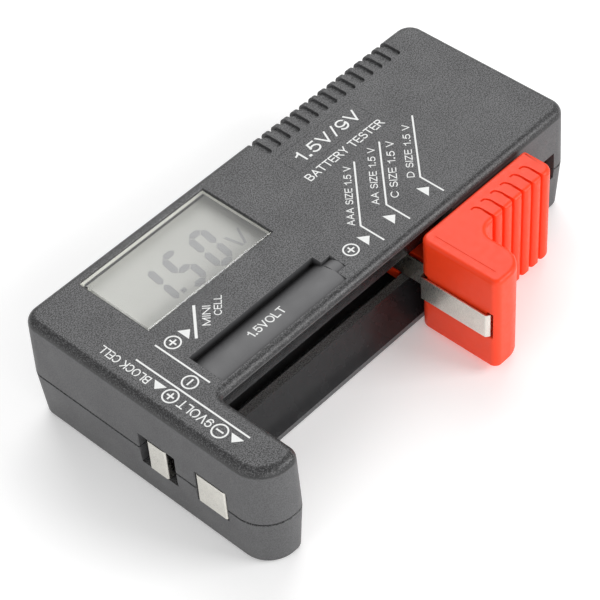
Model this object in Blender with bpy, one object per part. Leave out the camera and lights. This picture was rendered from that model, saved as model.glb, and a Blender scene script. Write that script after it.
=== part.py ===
"""Battery tester: a hand-held voltage tester for round cells and 9 V blocks.

A two-part black case holds a small board and a liquid-crystal display. A red
slider runs in a slot along the case's channelled side and clamps a round cell
against the fixed contact on the end block. Two plates in the near end face
take a 9 V block.

Sizes are in millimetres. "along" runs from the 9 V end, "across" from the
display side and "height" from the base. World axes: +X along, -Y across, +Z up,
with the origin under the middle of the whole outline.
"""
import math

import bmesh
import bpy
from mathutils import Matrix, Vector

METRES = 0.001

# Case
LENGTH = 109.5
WIDTH = 62.2
HEIGHT = 26.0
BODY_WIDTH = 42.6
END_BLOCK = 10.7
WALL = 1.9
PARTING = 11.8
GAP = 0.3
TOP_FILLET = 1.9
BASE_FILLET = 1.0
TOP_DRAFT = 0.3
BASE_DRAFT = 0.8
CORNER = 4.0
OUTER_CORNER = 7.0
INNER_CORNER = 3.0

# Channel for the cells and the slot for the slider's neck
CHANNEL_RADIUS = 18.0
CHANNEL_DEPTH = 4.4
CHANNEL_END = 73.4
CHANNEL_HEIGHT = 13.0
SLOT_START, SLOT_END = 12.7, 104.6
SLOT_LOW, SLOT_HIGH = 9.6, 16.2
GUIDE_WALL = (12.5, 97.6, 30.2, 31.0)
GUIDE_TOP = 17.0

# Display window and the cell-shaped relief in the top
WINDOW = (13.1, 45.8, 2.9, 21.4)
RELIEF = (13.1, 45.7, 31.7, 40.4)
RELIEF_DEPTH = 2.0
RELIEF_CREST, RELIEF_SINK = 37.6, 0.05
NOTCH = (45.7, 48.0, 33.9, 38.0)
NUB_ACROSS, NUB_RADIUS = 36.4, 4.0

# Grip grooves on the display-side edge
GRIP_COUNT, GRIP_FIRST, GRIP_PITCH = 15, 61.4, 2.725
GRIP_WIDTH, GRIP_DEPTH, GRIP_REACH, GRIP_LOW = 1.7, 0.6, 5.5, 13.5

# Slider, with a 50.5 mm AA cell between its face and the fixed contact
SLIDER_NEAR, SLIDER_FAR = 62.7, 94.3
SLIDER_LOW, SLIDER_HIGH = 1.7, 25.0
SLIDER_FRONT = 62.1
SLIDER_BACK = BODY_WIDTH + 0.35
CLAMP_FAR = 71.6
THUMB_FACE = 50.6
SLIDER_FILLET = 1.0
RIB_COUNT, RIB_FIRST, RIB_PITCH, RIB_GROOVE = 6, 76.2, 2.9, 1.0
NECK = (64.6, 93.0)
HEAD_ACROSS = (32.7, 36.0)
HEAD_HEIGHT = (7.6, 16.9)
STRIP = 0.4
STRIP_HEIGHT = (9.9, 15.7)
RAIL_ACROSS, RAIL_HEIGHT = (31.3, 31.6), (11.0, 14.4)

# 9 V plates: (low across, high across, low height, high height)
PLATE_POSITIVE = (32.5, 37.2, 7.9, 15.4)
PLATE_NEGATIVE = (44.9, 52.1, 8.6, 15.9)
PLATE_SIDE_SLOT = 2.3

# Board and display stack
BOARD = (9.8, 62.0, 2.9, 29.8)
BOARD_HEIGHT = (14.0, 15.6)
SCREW_SPOTS = ((6.6, 7.0), (5.4, 56.2), (102.8, 7.0), (101.6, 27.5))
BOARD_SPOTS = ((12.0, 26.6), (58.8, 6.4), (58.8, 26.6))
BOSS_RADIUS, PILOT_RADIUS, SHANK_RADIUS = 2.7, 1.35, 1.0
BASE_BOSS_RADIUS, CLEAR_RADIUS, HEAD_HOLE_RADIUS = 3.5, 1.5, 2.7
HEAD_RADIUS, HEAD_SEAT, HEAD_THICKNESS = 2.3, 6.0, 1.5

# Return spring
SPRING_ACROSS, SPRING_HEIGHT = 34.3, 19.2
SPRING_RADIUS, WIRE_RADIUS, SPRING_TURNS = 1.5, 0.25, 26
ANCHOR_ALONG = 5.2


def world(along, across, height):
    """A place given as along, across and height, on the world's axes."""
    return Vector((along - LENGTH / 2, WIDTH / 2 - across, height))


def clear_scene():
    for thing in list(bpy.data.objects):
        bpy.data.objects.remove(thing, do_unlink=True)


def material(name, colour, roughness, metallic=0.0, alpha=1.0):
    made = bpy.data.materials.new(name)
    made.use_nodes = True
    shader = made.node_tree.nodes["Principled BSDF"]
    shader.inputs["Base Color"].default_value = (*colour, 1.0)
    shader.inputs["Roughness"].default_value = roughness
    shader.inputs["Metallic"].default_value = metallic
    shader.inputs["Alpha"].default_value = alpha
    made.diffuse_color = (*colour, alpha)
    return made


def make_object(name, bm, finish=None, smooth=True):
    """Turn a bmesh into a named object."""
    bmesh.ops.remove_doubles(bm, verts=bm.verts, dist=1e-4)
    bmesh.ops.recalc_face_normals(bm, faces=bm.faces)
    mesh = bpy.data.meshes.new(name)
    bm.to_mesh(mesh)
    bm.free()
    if smooth:
        mesh.shade_smooth()
        mesh.set_sharp_from_angle(angle=math.radians(35))
    made = bpy.data.objects.new(name, mesh)
    bpy.context.collection.objects.link(made)
    if finish:
        mesh.materials.append(finish)
    return made


def boolean(target, tool, operation):
    """Apply a Boolean with a tool object, then drop the tool."""
    step = target.modifiers.new(operation.lower(), "BOOLEAN")
    step.operation = operation
    step.solver = "EXACT"
    step.object = tool
    bpy.context.view_layer.update()
    graph = bpy.context.evaluated_depsgraph_get()
    result = bpy.data.meshes.new_from_object(target.evaluated_get(graph))
    target.modifiers.clear()
    target.data = result
    bpy.data.objects.remove(tool, do_unlink=True)
    return target


def cut(target, *tools):
    for tool in tools:
        boolean(target, tool, "DIFFERENCE")
    return target


def join(target, *tools):
    for tool in tools:
        boolean(target, tool, "UNION")
    return target


def finish_object(target, finish, angle=35):
    """Give a finished solid its one material and its shading."""
    target.data.materials.clear()
    target.data.materials.append(finish)
    for face in target.data.polygons:
        face.material_index = 0
    target.data.shade_smooth()
    target.data.set_sharp_from_angle(angle=math.radians(angle))
    target.data.name = target.name
    return target


def rounded_outline(corners):
    """Points of a polygon whose corners (along, across, radius, steps) are arcs."""
    points = []
    spots = [Vector(corner[:2]) for corner in corners]
    for index, (along, across, radius, steps) in enumerate(corners):
        corner = spots[index]
        to_last = (spots[index - 1] - corner).normalized()
        to_next = (spots[(index + 1) % len(spots)] - corner).normalized()
        half = to_last.angle(to_next) / 2
        centre = corner + (to_last + to_next).normalized() * radius / math.sin(half)
        first = corner + to_last * radius / math.tan(half) - centre
        last = corner + to_next * radius / math.tan(half) - centre
        sweep = first.angle_signed(last)
        for step in range(steps + 1):
            turn = Matrix.Rotation(-sweep * step / steps, 2)
            points.append(centre + turn @ first)
    return points


def inset_outline(points, distance):
    """Move every point of a closed outline inwards by a distance."""
    area = sum(a.x * b.y - b.x * a.y for a, b in zip(points, points[1:] + points[:1]))
    side = 1 if area > 0 else -1
    moved = []
    for index, point in enumerate(points):
        last = (point - points[index - 1]).normalized()
        following = (points[(index + 1) % len(points)] - point).normalized()
        normals = [Vector((-edge.y, edge.x)) * side for edge in (last, following)]
        shift = (normals[0] + normals[1]) / (1 + normals[0].dot(normals[1]))
        moved.append(point + shift * distance)
    return moved


def loft(name, outline, levels, finish=None):
    """A solid whose outline is inset by a given distance at each height."""
    bm = bmesh.new()
    rings = []
    for height, inset in levels:
        ring = [bm.verts.new(world(p.x, p.y, height)) for p in inset_outline(outline, inset)]
        rings.append(ring)
    for low, high in zip(rings, rings[1:]):
        for index in range(len(low)):
            after = (index + 1) % len(low)
            bm.faces.new((low[index], low[after], high[after], high[index]))
    bm.faces.new(rings[0])
    bm.faces.new(rings[-1])
    return make_object(name, bm, finish)


def block(name, along, across, height, finish=None):
    """A box between three pairs of limits."""
    bm = bmesh.new()
    low = world(along[0], across[1], height[0])
    high = world(along[1], across[0], height[1])
    bmesh.ops.create_cube(bm, size=1.0)
    for vert in bm.verts:
        vert.co = Vector(high[i] if vert.co[i] > 0 else low[i] for i in range(3))
    return make_object(name, bm, finish, smooth=False)


def rod(name, start, end, radius, segments=20, finish=None):
    """A round bar between two places (along, across, height)."""
    first, last = world(*start), world(*end)
    bm = bmesh.new()
    turn = (last - first).to_track_quat("Z", "Y").to_matrix().to_4x4()
    place = Matrix.Translation((first + last) / 2) @ turn
    bmesh.ops.create_cone(
        bm, cap_ends=True, segments=segments, radius1=radius, radius2=radius,
        depth=(last - first).length, matrix=place,
    )
    return make_object(name, bm, finish)


def prism(name, outline, direction, span, finish=None):
    """Extrude an outline of (u, v) pairs along one direction.

    "along" takes (across, height) pairs, "across" takes (along, height) pairs
    and "up" takes (along, across) pairs.
    """
    place = {
        "along": lambda u, v, w: world(w, u, v),
        "across": lambda u, v, w: world(u, w, v),
        "up": lambda u, v, w: world(u, v, w),
    }[direction]
    bm = bmesh.new()
    rings = [[bm.verts.new(place(u, v, w)) for u, v in outline] for w in span]
    count = len(outline)
    for index in range(count):
        after = (index + 1) % count
        bm.faces.new((rings[0][index], rings[0][after], rings[1][after], rings[1][index]))
    bm.faces.new(rings[0])
    bm.faces.new(rings[1])
    return make_object(name, bm, finish)


def arc(centre, radius, first, last, steps):
    """Points along an arc between two angles in degrees."""
    return [
        (centre[0] + radius * math.cos(math.radians(first + (last - first) * k / steps)),
         centre[1] + radius * math.sin(math.radians(first + (last - first) * k / steps)))
        for k in range(steps + 1)
    ]


def tube(name, points, radius, sides=6, finish=None):
    """A round wire along a list of (along, across, height) points."""
    path = [world(*point) for point in points]
    bm = bmesh.new()
    rings = []
    side = Vector((0, 0, 1))
    for index, spot in enumerate(path):
        before, after = path[max(index - 1, 0)], path[min(index + 1, len(path) - 1)]
        heading = (after - before).normalized()
        side = (side - heading * side.dot(heading)).normalized()
        other = heading.cross(side)
        rings.append([
            bm.verts.new(spot + (side * math.cos(t) + other * math.sin(t)) * radius)
            for t in (2 * math.pi * k / sides for k in range(sides))
        ])
    for low, high in zip(rings, rings[1:]):
        for index in range(sides):
            after = (index + 1) % sides
            bm.faces.new((low[index], low[after], high[after], high[index]))
    bm.faces.new(rings[0])
    bm.faces.new(rings[-1])
    return make_object(name, bm, finish)


def smooth_route(stops, steps=5):
    """A Catmull-Rom curve through the stops, as points."""
    spots = [Vector(stop) for stop in stops]
    spots = [spots[0] * 2 - spots[1]] + spots + [spots[-1] * 2 - spots[-2]]
    points = []
    for a, b, c, d in zip(spots, spots[1:], spots[2:], spots[3:]):
        for k in range(steps):
            t = k / steps
            points.append(
                0.5 * (2 * b + (c - a) * t + (2 * a - 5 * b + 4 * c - d) * t ** 2
                       + (3 * b - a - 3 * c + d) * t ** 3)
            )
    points.append(spots[-2])
    return [tuple(point) for point in points]


# ---------------------------------------------------------------- case shells

def case_outline():
    return rounded_outline((
        (0, 0, CORNER, 5),
        (0, WIDTH, OUTER_CORNER, 9),
        (END_BLOCK, WIDTH, INNER_CORNER, 5),
        (END_BLOCK, BODY_WIDTH, 0.8, 2),
        (LENGTH, BODY_WIDTH, CORNER, 5),
        (LENGTH, 0, CORNER, 5),
    ))


def side_inset(height):
    """Draft of the side faces, which are widest at the parting line."""
    if height < PARTING:
        return BASE_DRAFT * (PARTING - height) / (PARTING - BASE_FILLET)
    return TOP_DRAFT * (height - PARTING) / (HEIGHT - TOP_FILLET - PARTING)


def fillet_levels(edge, radius, inset, steps):
    """Levels of a rounded edge that ends at the given height."""
    inward = 1 if edge > PARTING else -1
    levels = []
    for k in range(steps + 1):
        angle = math.pi / 2 * k / steps
        height = edge - inward * radius * (1 - math.sin(angle))
        levels.append((height, inset + radius * (1 - math.cos(angle))))
    return levels


def channel(radius, start, end, name):
    across = BODY_WIDTH - CHANNEL_DEPTH + CHANNEL_RADIUS
    return rod(name, (start, across, CHANNEL_HEIGHT), (end, across, CHANNEL_HEIGHT), radius, 96)


def cavity(name, outline, low, high):
    """The room inside a shell, clear of the channel's wall."""
    room = loft(name, outline, [
        (low, side_inset(PARTING) + WALL), (high, side_inset(high) + WALL),
    ])
    keep = channel(CHANNEL_RADIUS + WALL, END_BLOCK - WALL, CHANNEL_END + WALL, "channel_wall")
    return cut(room, keep)


def slot_cutter():
    return block("slot", (SLOT_START, SLOT_END), (30, BODY_WIDTH + 3), (SLOT_LOW, SLOT_HIGH))


def grip_cutter(number):
    """One rounded groove that runs over the display-side top edge."""
    along = GRIP_FIRST + GRIP_PITCH * number
    radius = GRIP_WIDTH / 2
    centre = (TOP_FILLET + TOP_DRAFT, HEIGHT - TOP_FILLET)
    floor = arc(centre, TOP_FILLET - GRIP_DEPTH, 180, 90, 4)
    top = floor[-1][1]
    outline = floor + [
        (GRIP_REACH, top), (GRIP_REACH, HEIGHT + 1), (-1, HEIGHT + 1), (-1, GRIP_LOW),
        (side_inset(GRIP_LOW) + GRIP_DEPTH, GRIP_LOW),
    ]
    tool = prism("grip", outline, "along", (along - radius, along + radius))
    return join(tool, rod("grip_end", (along, GRIP_REACH, top), (along, GRIP_REACH, HEIGHT + 1),
                          radius, 12))


def relief_cutter(limits, crest, radius):
    """A recess that leaves a round back whose crest lies just under the top."""
    along, across = limits[:2], limits[2:]
    axis_across, axis_height = crest, HEIGHT - RELIEF_SINK - radius
    tool = block("relief", along, across, (HEIGHT - RELIEF_DEPTH, HEIGHT + 1))
    keep = rod("relief_cell", (along[0] - 1, axis_across, axis_height),
               (along[1] + 1, axis_across, axis_height), radius, 48)
    return cut(tool, keep)


def plate_openings():
    """Holes in the near end face behind and beside the two 9 V plates."""
    tools = []
    low, high, bottom, top = PLATE_POSITIVE
    tools.append(block("plate_hole", (-1, WALL + 0.5),
                       (low - PLATE_SIDE_SLOT, high + PLATE_SIDE_SLOT),
                       (bottom - GAP, top + GAP)))
    low, high, bottom, top = PLATE_NEGATIVE
    tools.append(block("plate_hole", (-1, WALL + 0.5), (low - GAP, high + GAP),
                       (bottom - GAP, top + GAP)))
    return tools


def cell_contact_slot():
    """The slot in the end block's inner wall for the fixed contact."""
    return block("contact_slot", (END_BLOCK - WALL - 0.5, END_BLOCK + 1), (44.0, 46.4), (9.0, 15.8))


def build_top_shell(finish):
    outline = case_outline()
    levels = [(PARTING + GAP / 2, side_inset(PARTING))]
    levels += fillet_levels(HEIGHT, TOP_FILLET, TOP_DRAFT, 5)
    shell = loft("top_shell", outline, levels)
    cut(shell, channel(CHANNEL_RADIUS, END_BLOCK, CHANNEL_END, "channel"))
    room = cavity("room", outline, PARTING - 1, HEIGHT - WALL)
    relief_floor = (RELIEF[0] - WALL, NOTCH[1] + WALL, RELIEF[2] - WALL, BODY_WIDTH)
    cut(room, block("relief_floor", relief_floor[:2], relief_floor[2:],
                    (HEIGHT - RELIEF_DEPTH - WALL, HEIGHT)))
    cut(shell, room)
    cut(shell, slot_cutter(), cell_contact_slot(), *plate_openings())
    cut(shell, block("window_hole", WINDOW[:2], WINDOW[2:], (HEIGHT - 4, HEIGHT + 1)))
    radius = ((RELIEF_CREST - RELIEF[2]) ** 2 + RELIEF_DEPTH ** 2) / (2 * RELIEF_DEPTH)
    cut(shell, relief_cutter(RELIEF, RELIEF_CREST, radius))
    cut(shell, relief_cutter(NOTCH, NUB_ACROSS, NUB_RADIUS))
    for number in range(GRIP_COUNT):
        cut(shell, grip_cutter(number))
    ceiling = HEIGHT - WALL / 2
    for along, across in SCREW_SPOTS + BOARD_SPOTS:
        low = PARTING + 0.4 if (along, across) in SCREW_SPOTS else BOARD_HEIGHT[1] + GAP
        boss = rod("boss", (along, across, low), (along, across, ceiling), BOSS_RADIUS)
        join(shell, boss)
        cut(shell, rod("pilot", (along, across, low - 1), (along, across, HEIGHT - WALL - 1),
                       PILOT_RADIUS, 16))
    join(shell, rod("spring_post", (ANCHOR_ALONG, SPRING_ACROSS, SPRING_HEIGHT - 2.0),
                    (ANCHOR_ALONG, SPRING_ACROSS, ceiling), 1.2, 14))
    return finish_object(shell, finish)


def build_bottom_shell(finish):
    outline = case_outline()
    levels = [(height, inset) for height, inset in reversed(
        fillet_levels(0, BASE_FILLET, BASE_DRAFT, 3))]
    levels.append((PARTING - GAP / 2, side_inset(PARTING)))
    shell = loft("bottom_shell", outline, levels)
    cut(shell, channel(CHANNEL_RADIUS, END_BLOCK, CHANNEL_END, "channel"))
    room = loft("room", outline, [
        (WALL, side_inset(WALL) + WALL), (PARTING + 1, side_inset(PARTING) + WALL),
    ])
    cut(room, channel(CHANNEL_RADIUS + WALL, END_BLOCK - WALL, CHANNEL_END + WALL,
                      "channel_wall"))
    cut(shell, room)
    cut(shell, slot_cutter(), cell_contact_slot(), *plate_openings())
    for along, across in SCREW_SPOTS:
        boss = rod("boss", (along, across, WALL / 2), (along, across, PARTING - 0.4),
                   BASE_BOSS_RADIUS)
        join(shell, boss)
        cut(shell, rod("clear", (along, across, -1), (along, across, PARTING + 1),
                       CLEAR_RADIUS, 16))
        cut(shell, rod("head_hole", (along, across, -1), (along, across, HEAD_SEAT + GAP),
                       HEAD_HOLE_RADIUS, 20))
    join(shell, block("guide_wall", GUIDE_WALL[:2], GUIDE_WALL[2:], (WALL / 2, GUIDE_TOP)))
    cut(shell, block("lead_notch", (20.6, 23.4), (29.0, 32.0), (10.6, GUIDE_TOP + 1)))
    return finish_object(shell, finish)


# --------------------------------------------------------------------- slider

def slider_outline():
    return rounded_outline((
        (SLIDER_NEAR, SLIDER_BACK, 2.2, 5),
        (SLIDER_NEAR, SLIDER_FRONT, 1.6, 4),
        (CLAMP_FAR, SLIDER_FRONT, 5.0, 7),
        (CLAMP_FAR, THUMB_FACE, 3.0, 5),
        (SLIDER_FAR, THUMB_FACE, 2.4, 5),
        (SLIDER_FAR, SLIDER_BACK, 0.8, 2),
    ))


def thumb_groove(number):
    """A groove down the thumb face whose top curls over the upper edge."""
    along = RIB_FIRST + RIB_PITCH * number
    depth = 0.8
    radius = 3.0
    centre = (THUMB_FACE - depth - radius, SLIDER_HIGH - radius)
    curl = arc(centre, radius, 90, 0, 5)
    outline = curl + [
        (THUMB_FACE - depth, SLIDER_LOW - 1), (THUMB_FACE + 2, SLIDER_LOW - 1),
        (THUMB_FACE + 2, SLIDER_HIGH + 1), (curl[0][0], SLIDER_HIGH + 1),
    ]
    half = RIB_GROOVE / 2
    return prism("thumb_groove", outline, "along", (along - half, along + half))


def build_slider(finish):
    outline = slider_outline()
    levels = [(SLIDER_LOW, 0.5), (SLIDER_LOW + 0.5, 0.0)]
    levels += fillet_levels(SLIDER_HIGH, SLIDER_FILLET, 0.0, 4)
    slider = loft("slider", outline, levels)
    for number in range(RIB_COUNT):
        cut(slider, thumb_groove(number))
    neck_across = (HEAD_ACROSS[1] - 0.5, SLIDER_BACK + 1)
    join(slider, block("neck", NECK, neck_across, (SLOT_LOW + 0.4, SLOT_HIGH - 0.4)))
    join(slider, block("head", NECK, HEAD_ACROSS, HEAD_HEIGHT))
    hook_along = (NECK[1] - 3.0, NECK[1])
    join(slider, block("spring_tab", hook_along, HEAD_ACROSS,
                       (HEAD_HEIGHT[1] - 1, SPRING_HEIGHT + 1.5)))
    cut(slider, rod("spring_eye", (hook_along[0] + 1.4, HEAD_ACROSS[0] - 1, SPRING_HEIGHT),
                    (hook_along[0] + 1.4, HEAD_ACROSS[1] + 1, SPRING_HEIGHT), 0.6, 10))
    # Room for the contact strip: a pocket at its tip and its way in through the neck
    low, high = STRIP_HEIGHT
    cut(slider, block("tip_pocket", (SLIDER_NEAR - 1, SLIDER_NEAR + 3.4), (59.6, 61.0),
                      (low - GAP, high + GAP)))
    cut(slider, block("strip_pass", (NECK[0] - 1, NECK[0] + 1.4),
                      (HEAD_ACROSS[0] - 1, SLIDER_BACK + 1), (low - GAP, high + GAP)))
    cut(slider, block("strip_entry", (SLIDER_NEAR - 1, NECK[0] + 1.4),
                      (SLIDER_BACK - 1, SLIDER_BACK + 2.2), (low - GAP, high + GAP)))
    return finish_object(slider, finish)


def strip_outline(points, thickness):
    """The outline of a bent metal strip from its centre line."""
    spots = [Vector(point) for point in points]
    left, right = [], []
    for index, spot in enumerate(spots):
        before = (spot - spots[index - 1]).normalized() if index else None
        after = (spots[index + 1] - spot).normalized() if index < len(spots) - 1 else None
        edges = [edge for edge in (before, after) if edge]
        normals = [Vector((-edge.y, edge.x)) for edge in edges]
        total = sum(normals, Vector((0, 0)))
        shift = total / (1 + normals[0].dot(normals[-1])) if len(normals) == 2 else total
        left.append(spot + shift * thickness / 2)
        right.append(spot - shift * thickness / 2)
    return [tuple(point) for point in left + right[::-1]]


def build_slider_contact(finish):
    """The slider's strip: over the clamp face, tip folded into its pocket."""
    face = SLIDER_NEAR - GAP - STRIP / 2
    centre = [
        (SLIDER_NEAR + 2.9, 60.3), (SLIDER_NEAR + 0.2, 60.3), (face, 59.8), (face, 44.0),
        (SLIDER_NEAR + 0.4, 43.85), (NECK[0] + 0.4, 43.85), (NECK[0] + 0.4, HEAD_ACROSS[0] - 0.3),
    ]
    return prism("slider_contact", strip_outline(centre, STRIP), "up", STRIP_HEIGHT, finish)


def build_wiper(finish):
    """The sprung finger on the slider that rides along the contact rail."""
    start = NECK[0] + 2.2
    across = HEAD_ACROSS[0]
    centre = [(start, across - 0.5), (start + 16, across - 0.5), (start + 20, across - 0.75),
              (start + 21.5, across - 0.5)]
    return prism("wiper", strip_outline(centre, 0.25), "up", (11.6, 13.8), finish)


# ----------------------------------------------------- contacts and internals

def build_fixed_contact(finish):
    """The fixed contact: a plate on the end block's inner face and its tail."""
    face = END_BLOCK + GAP + STRIP / 2
    centre = [(face, 56.4), (face, 45.2), (END_BLOCK - WALL - 1.2, 45.2),
              (END_BLOCK - WALL - 1.2, 40.5)]
    return prism("fixed_cell_contact", strip_outline(centre, STRIP), "up", (9.4, 15.4), finish)


def build_plate(name, limits, finish):
    """A 9 V plate: flush with the end face, with two legs turned inside."""
    low, high, bottom, top = limits
    inner = WALL + 2.1
    centre = [(inner, low + 0.2), (0.25, low + 0.2), (0.25, high - 0.2), (inner, high - 0.2)]
    return prism(name, strip_outline(centre, STRIP), "up", (bottom, top), finish)


def build_display(parts):
    low_x, high_x, low_y, high_y = WINDOW
    window = block("display_window", (low_x - 1.2, high_x + 1.2), (low_y - 0.35, high_y + 1.2),
                   (HEIGHT - WALL - GAP - 0.9, HEIGHT - WALL - GAP))
    join(window, block("window_pane", (low_x + GAP, high_x - GAP), (low_y + GAP, high_y - GAP),
                       (HEIGHT - WALL - GAP - 0.5, HEIGHT - 0.45)))
    finish_object(window, parts["clear"])
    top = HEIGHT - WALL - GAP - 0.9 - GAP
    block("lcd_panel", (low_x - 1.0, high_x + 1.0), (low_y, high_y + 1.0), (top - 2.0, top),
          parts["lcd"])
    frame = block("lcd_frame", (low_x - 2.4, high_x + 2.4), (low_y - 0.4, high_y + 2.4),
                  (BOARD_HEIGHT[1] + GAP, top - 0.2))
    cut(frame, block("lcd_room", (low_x - 1.3, high_x + 1.3), (low_y - 1.0, high_y + 1.3),
                     (top - 2.0 - GAP, top + 1)))
    cut(frame, block("zebra_room", (low_x + 2, high_x - 2), (low_y + 2.0, high_y - 2.0),
                     (BOARD_HEIGHT[1] - 1, top + 1)))
    finish_object(frame, parts["white"])
    for number, across in enumerate((low_y + 2.4, high_y - 4.8), 1):
        block(f"zebra_strip_{number}", (low_x + 2.6, high_x - 2.6), (across, across + 2.4),
              (BOARD_HEIGHT[1] + GAP, top - 2.0 - GAP), parts["rubber"])


def build_board(parts):
    board = block("circuit_board", BOARD[:2], BOARD[2:], BOARD_HEIGHT)
    for along, across in BOARD_SPOTS:
        cut(board, rod("board_hole", (along, across, BOARD_HEIGHT[0] - 1),
                       (along, across, BOARD_HEIGHT[1] + 1), PILOT_RADIUS, 16))
    finish_object(board, parts["board"])
    under = BOARD_HEIGHT[0] - GAP
    blob = rod("chip_blob", (30, 12, under - 1.4), (30, 12, under), 5.0, 24, parts["blob"])
    for vert in blob.data.vertices:
        centre = world(30, 12, under)
        if vert.co.z < centre.z - 0.5:
            vert.co.xy = centre.xy + (vert.co.xy - centre.xy) * 0.72
    for number, across in enumerate((16.5, 20.5), 1):
        rod(f"load_resistor_{number}", (42, across, under - 1.7), (50, across, under - 1.7),
            1.6, 16, parts["resistor"])
    rod("boost_inductor", (18, 22.5, under - 4.6), (18, 22.5, under), 3.2, 20, parts["ferrite"])
    rod("filter_capacitor", (44, 9.5, under - 2.6), (54.5, 9.5, under - 2.6), 2.5, 20,
        parts["sleeve"])
    flat = arc((25.5, 25.0), 2.2, 200, 340, 8)
    prism("switch_transistor", flat, "up", (under - 4.4, under), parts["blob"])
    rod("rectifier_diode", (31, 25.0, under - 1.2), (35, 25.0, under - 1.2), 0.9, 12,
        parts["glass_orange"])


def build_screws(parts):
    for number, (along, across) in enumerate(SCREW_SPOTS, 1):
        screw = rod(f"case_screw_{number}", (along, across, HEAD_SEAT - HEAD_THICKNESS),
                    (along, across, HEAD_SEAT), HEAD_RADIUS, 16)
        join(screw, rod("shank", (along, across, HEAD_SEAT - 0.5), (along, across, 20.0),
                        SHANK_RADIUS, 12))
        finish_screw(screw, along, across, HEAD_SEAT - HEAD_THICKNESS, parts["steel"])
    for number, (along, across) in enumerate(BOARD_SPOTS, 1):
        seat = BOARD_HEIGHT[0] - GAP
        screw = rod(f"board_screw_{number}", (along, across, seat - 1.3), (along, across, seat),
                    2.1, 16)
        join(screw, rod("shank", (along, across, seat - 0.5), (along, across, 20.5),
                        SHANK_RADIUS, 12))
        finish_screw(screw, along, across, seat - 1.3, parts["steel"])


def finish_screw(screw, along, across, face, finish):
    """Sink a cross recess in a screw's head."""
    reach, half = 1.3, 0.28
    limits = (face - 0.5, face + 0.8)
    cut(screw, block("recess", (along - reach, along + reach), (across - half, across + half), limits))
    cut(screw, block("recess", (along - half, along + half), (across - reach, across + reach), limits))
    finish_object(screw, finish)


def build_spring(finish):
    """A long extension spring from the case's post to the slider's tab."""
    start, end = ANCHOR_ALONG + 3.2, NECK[1] - 5.2
    turn_steps = 8
    points = [(ANCHOR_ALONG + 1.8, SPRING_ACROSS, SPRING_HEIGHT)]
    for k in range(SPRING_TURNS * turn_steps + 1):
        angle = 2 * math.pi * k / turn_steps
        along = start + (end - start) * k / (SPRING_TURNS * turn_steps)
        points.append((along, SPRING_ACROSS + SPRING_RADIUS * math.sin(angle),
                       SPRING_HEIGHT + SPRING_RADIUS * math.cos(angle)))
    points.append((NECK[1] - 3.5, SPRING_ACROSS, SPRING_HEIGHT))
    return tube("return_spring", points, WIRE_RADIUS, 5, finish)


def build_leads(parts):
    """Four insulated leads from the contacts and the rail to the board."""
    under = BOARD_HEIGHT[0] - 1.0
    routes = {
        "lead_positive_9v": (((4.6, 33.2, 9.5), (6.2, 31.5, 9.0), (8.4, 28.0, 10.6),
                              (10.6, 22.5, 12.0), (12.4, 20.5, under)), "red_wire"),
        "lead_negative_9v": (((4.7, 46.5, 10.5), (5.2, 42.5, 8.6), (6.6, 38.0, 8.0),
                              (8.4, 32.0, 7.9), (10.6, 24.0, 9.2), (12.6, 17.5, 11.4),
                              (13.2, 15.8, under)), "black_wire"),
        "lead_cell_negative": (((7.0, 39.6, 12.4), (7.6, 37.2, 12.4), (8.4, 33.5, 12.0),
                                (9.8, 30.2, 11.2), (13.0, 29.0, 10.8), (16.4, 28.2, 11.4),
                                (17.4, 27.6, under)),
                               "black_wire"),
        "lead_rail_positive": (((22.0, 30.8, 12.2), (22.0, 29.4, 11.9), (23.6, 28.4, 11.2),
                                (27.0, 28.3, 10.9), (30.0, 28.0, 11.6), (31.0, 27.6, under)),
                               "red_wire"),
    }
    for name, (stops, colour) in routes.items():
        tube(name, smooth_route(stops, 4), 0.5, 6, parts[colour])


def main():
    clear_scene()
    parts = {
        "case": material("case_plastic", (0.035, 0.035, 0.037), 0.55),
        "red": material("slider_plastic", (0.80, 0.06, 0.02), 0.42),
        "nickel": material("contact_nickel", (0.66, 0.65, 0.60), 0.28, 1.0),
        "brass": material("rail_brass", (0.72, 0.56, 0.28), 0.32, 1.0),
        "steel": material("screw_steel", (0.42, 0.42, 0.43), 0.35, 1.0),
        "spring": material("spring_steel", (0.55, 0.55, 0.56), 0.3, 1.0),
        "clear": material("window_acrylic", (0.86, 0.88, 0.84), 0.05, 0.0, 0.35),
        "lcd": material("lcd_glass", (0.45, 0.46, 0.41), 0.2),
        "white": material("frame_plastic", (0.8, 0.8, 0.78), 0.5),
        "rubber": material("zebra_rubber", (0.12, 0.12, 0.12), 0.8),
        "board": material("board_laminate", (0.05, 0.22, 0.10), 0.45),
        "blob": material("epoxy_black", (0.02, 0.02, 0.02), 0.35),
        "resistor": material("resistor_body", (0.62, 0.50, 0.34), 0.5),
        "ferrite": material("inductor_sleeve", (0.06, 0.06, 0.06), 0.5),
        "sleeve": material("capacitor_sleeve", (0.05, 0.07, 0.20), 0.4),
        "glass_orange": material("diode_glass", (0.70, 0.22, 0.05), 0.2),
        "red_wire": material("wire_red", (0.55, 0.03, 0.02), 0.5),
        "black_wire": material("wire_black", (0.03, 0.03, 0.03), 0.5),
    }
    build_top_shell(parts["case"])
    build_bottom_shell(parts["case"])
    build_slider(parts["red"])
    build_slider_contact(parts["nickel"])
    build_wiper(parts["brass"])
    build_fixed_contact(parts["nickel"])
    build_plate("nine_volt_positive", PLATE_POSITIVE, parts["nickel"])
    build_plate("nine_volt_negative", PLATE_NEGATIVE, parts["nickel"])
    block("contact_rail", (14.0, 97.0), RAIL_ACROSS, RAIL_HEIGHT, parts["brass"])
    build_display(parts)
    build_board(parts)
    build_screws(parts)
    build_spring(parts["spring"])
    build_leads(parts)
    for thing in bpy.data.objects:
        thing.data.transform(Matrix.Scale(METRES, 4))


main()
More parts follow.
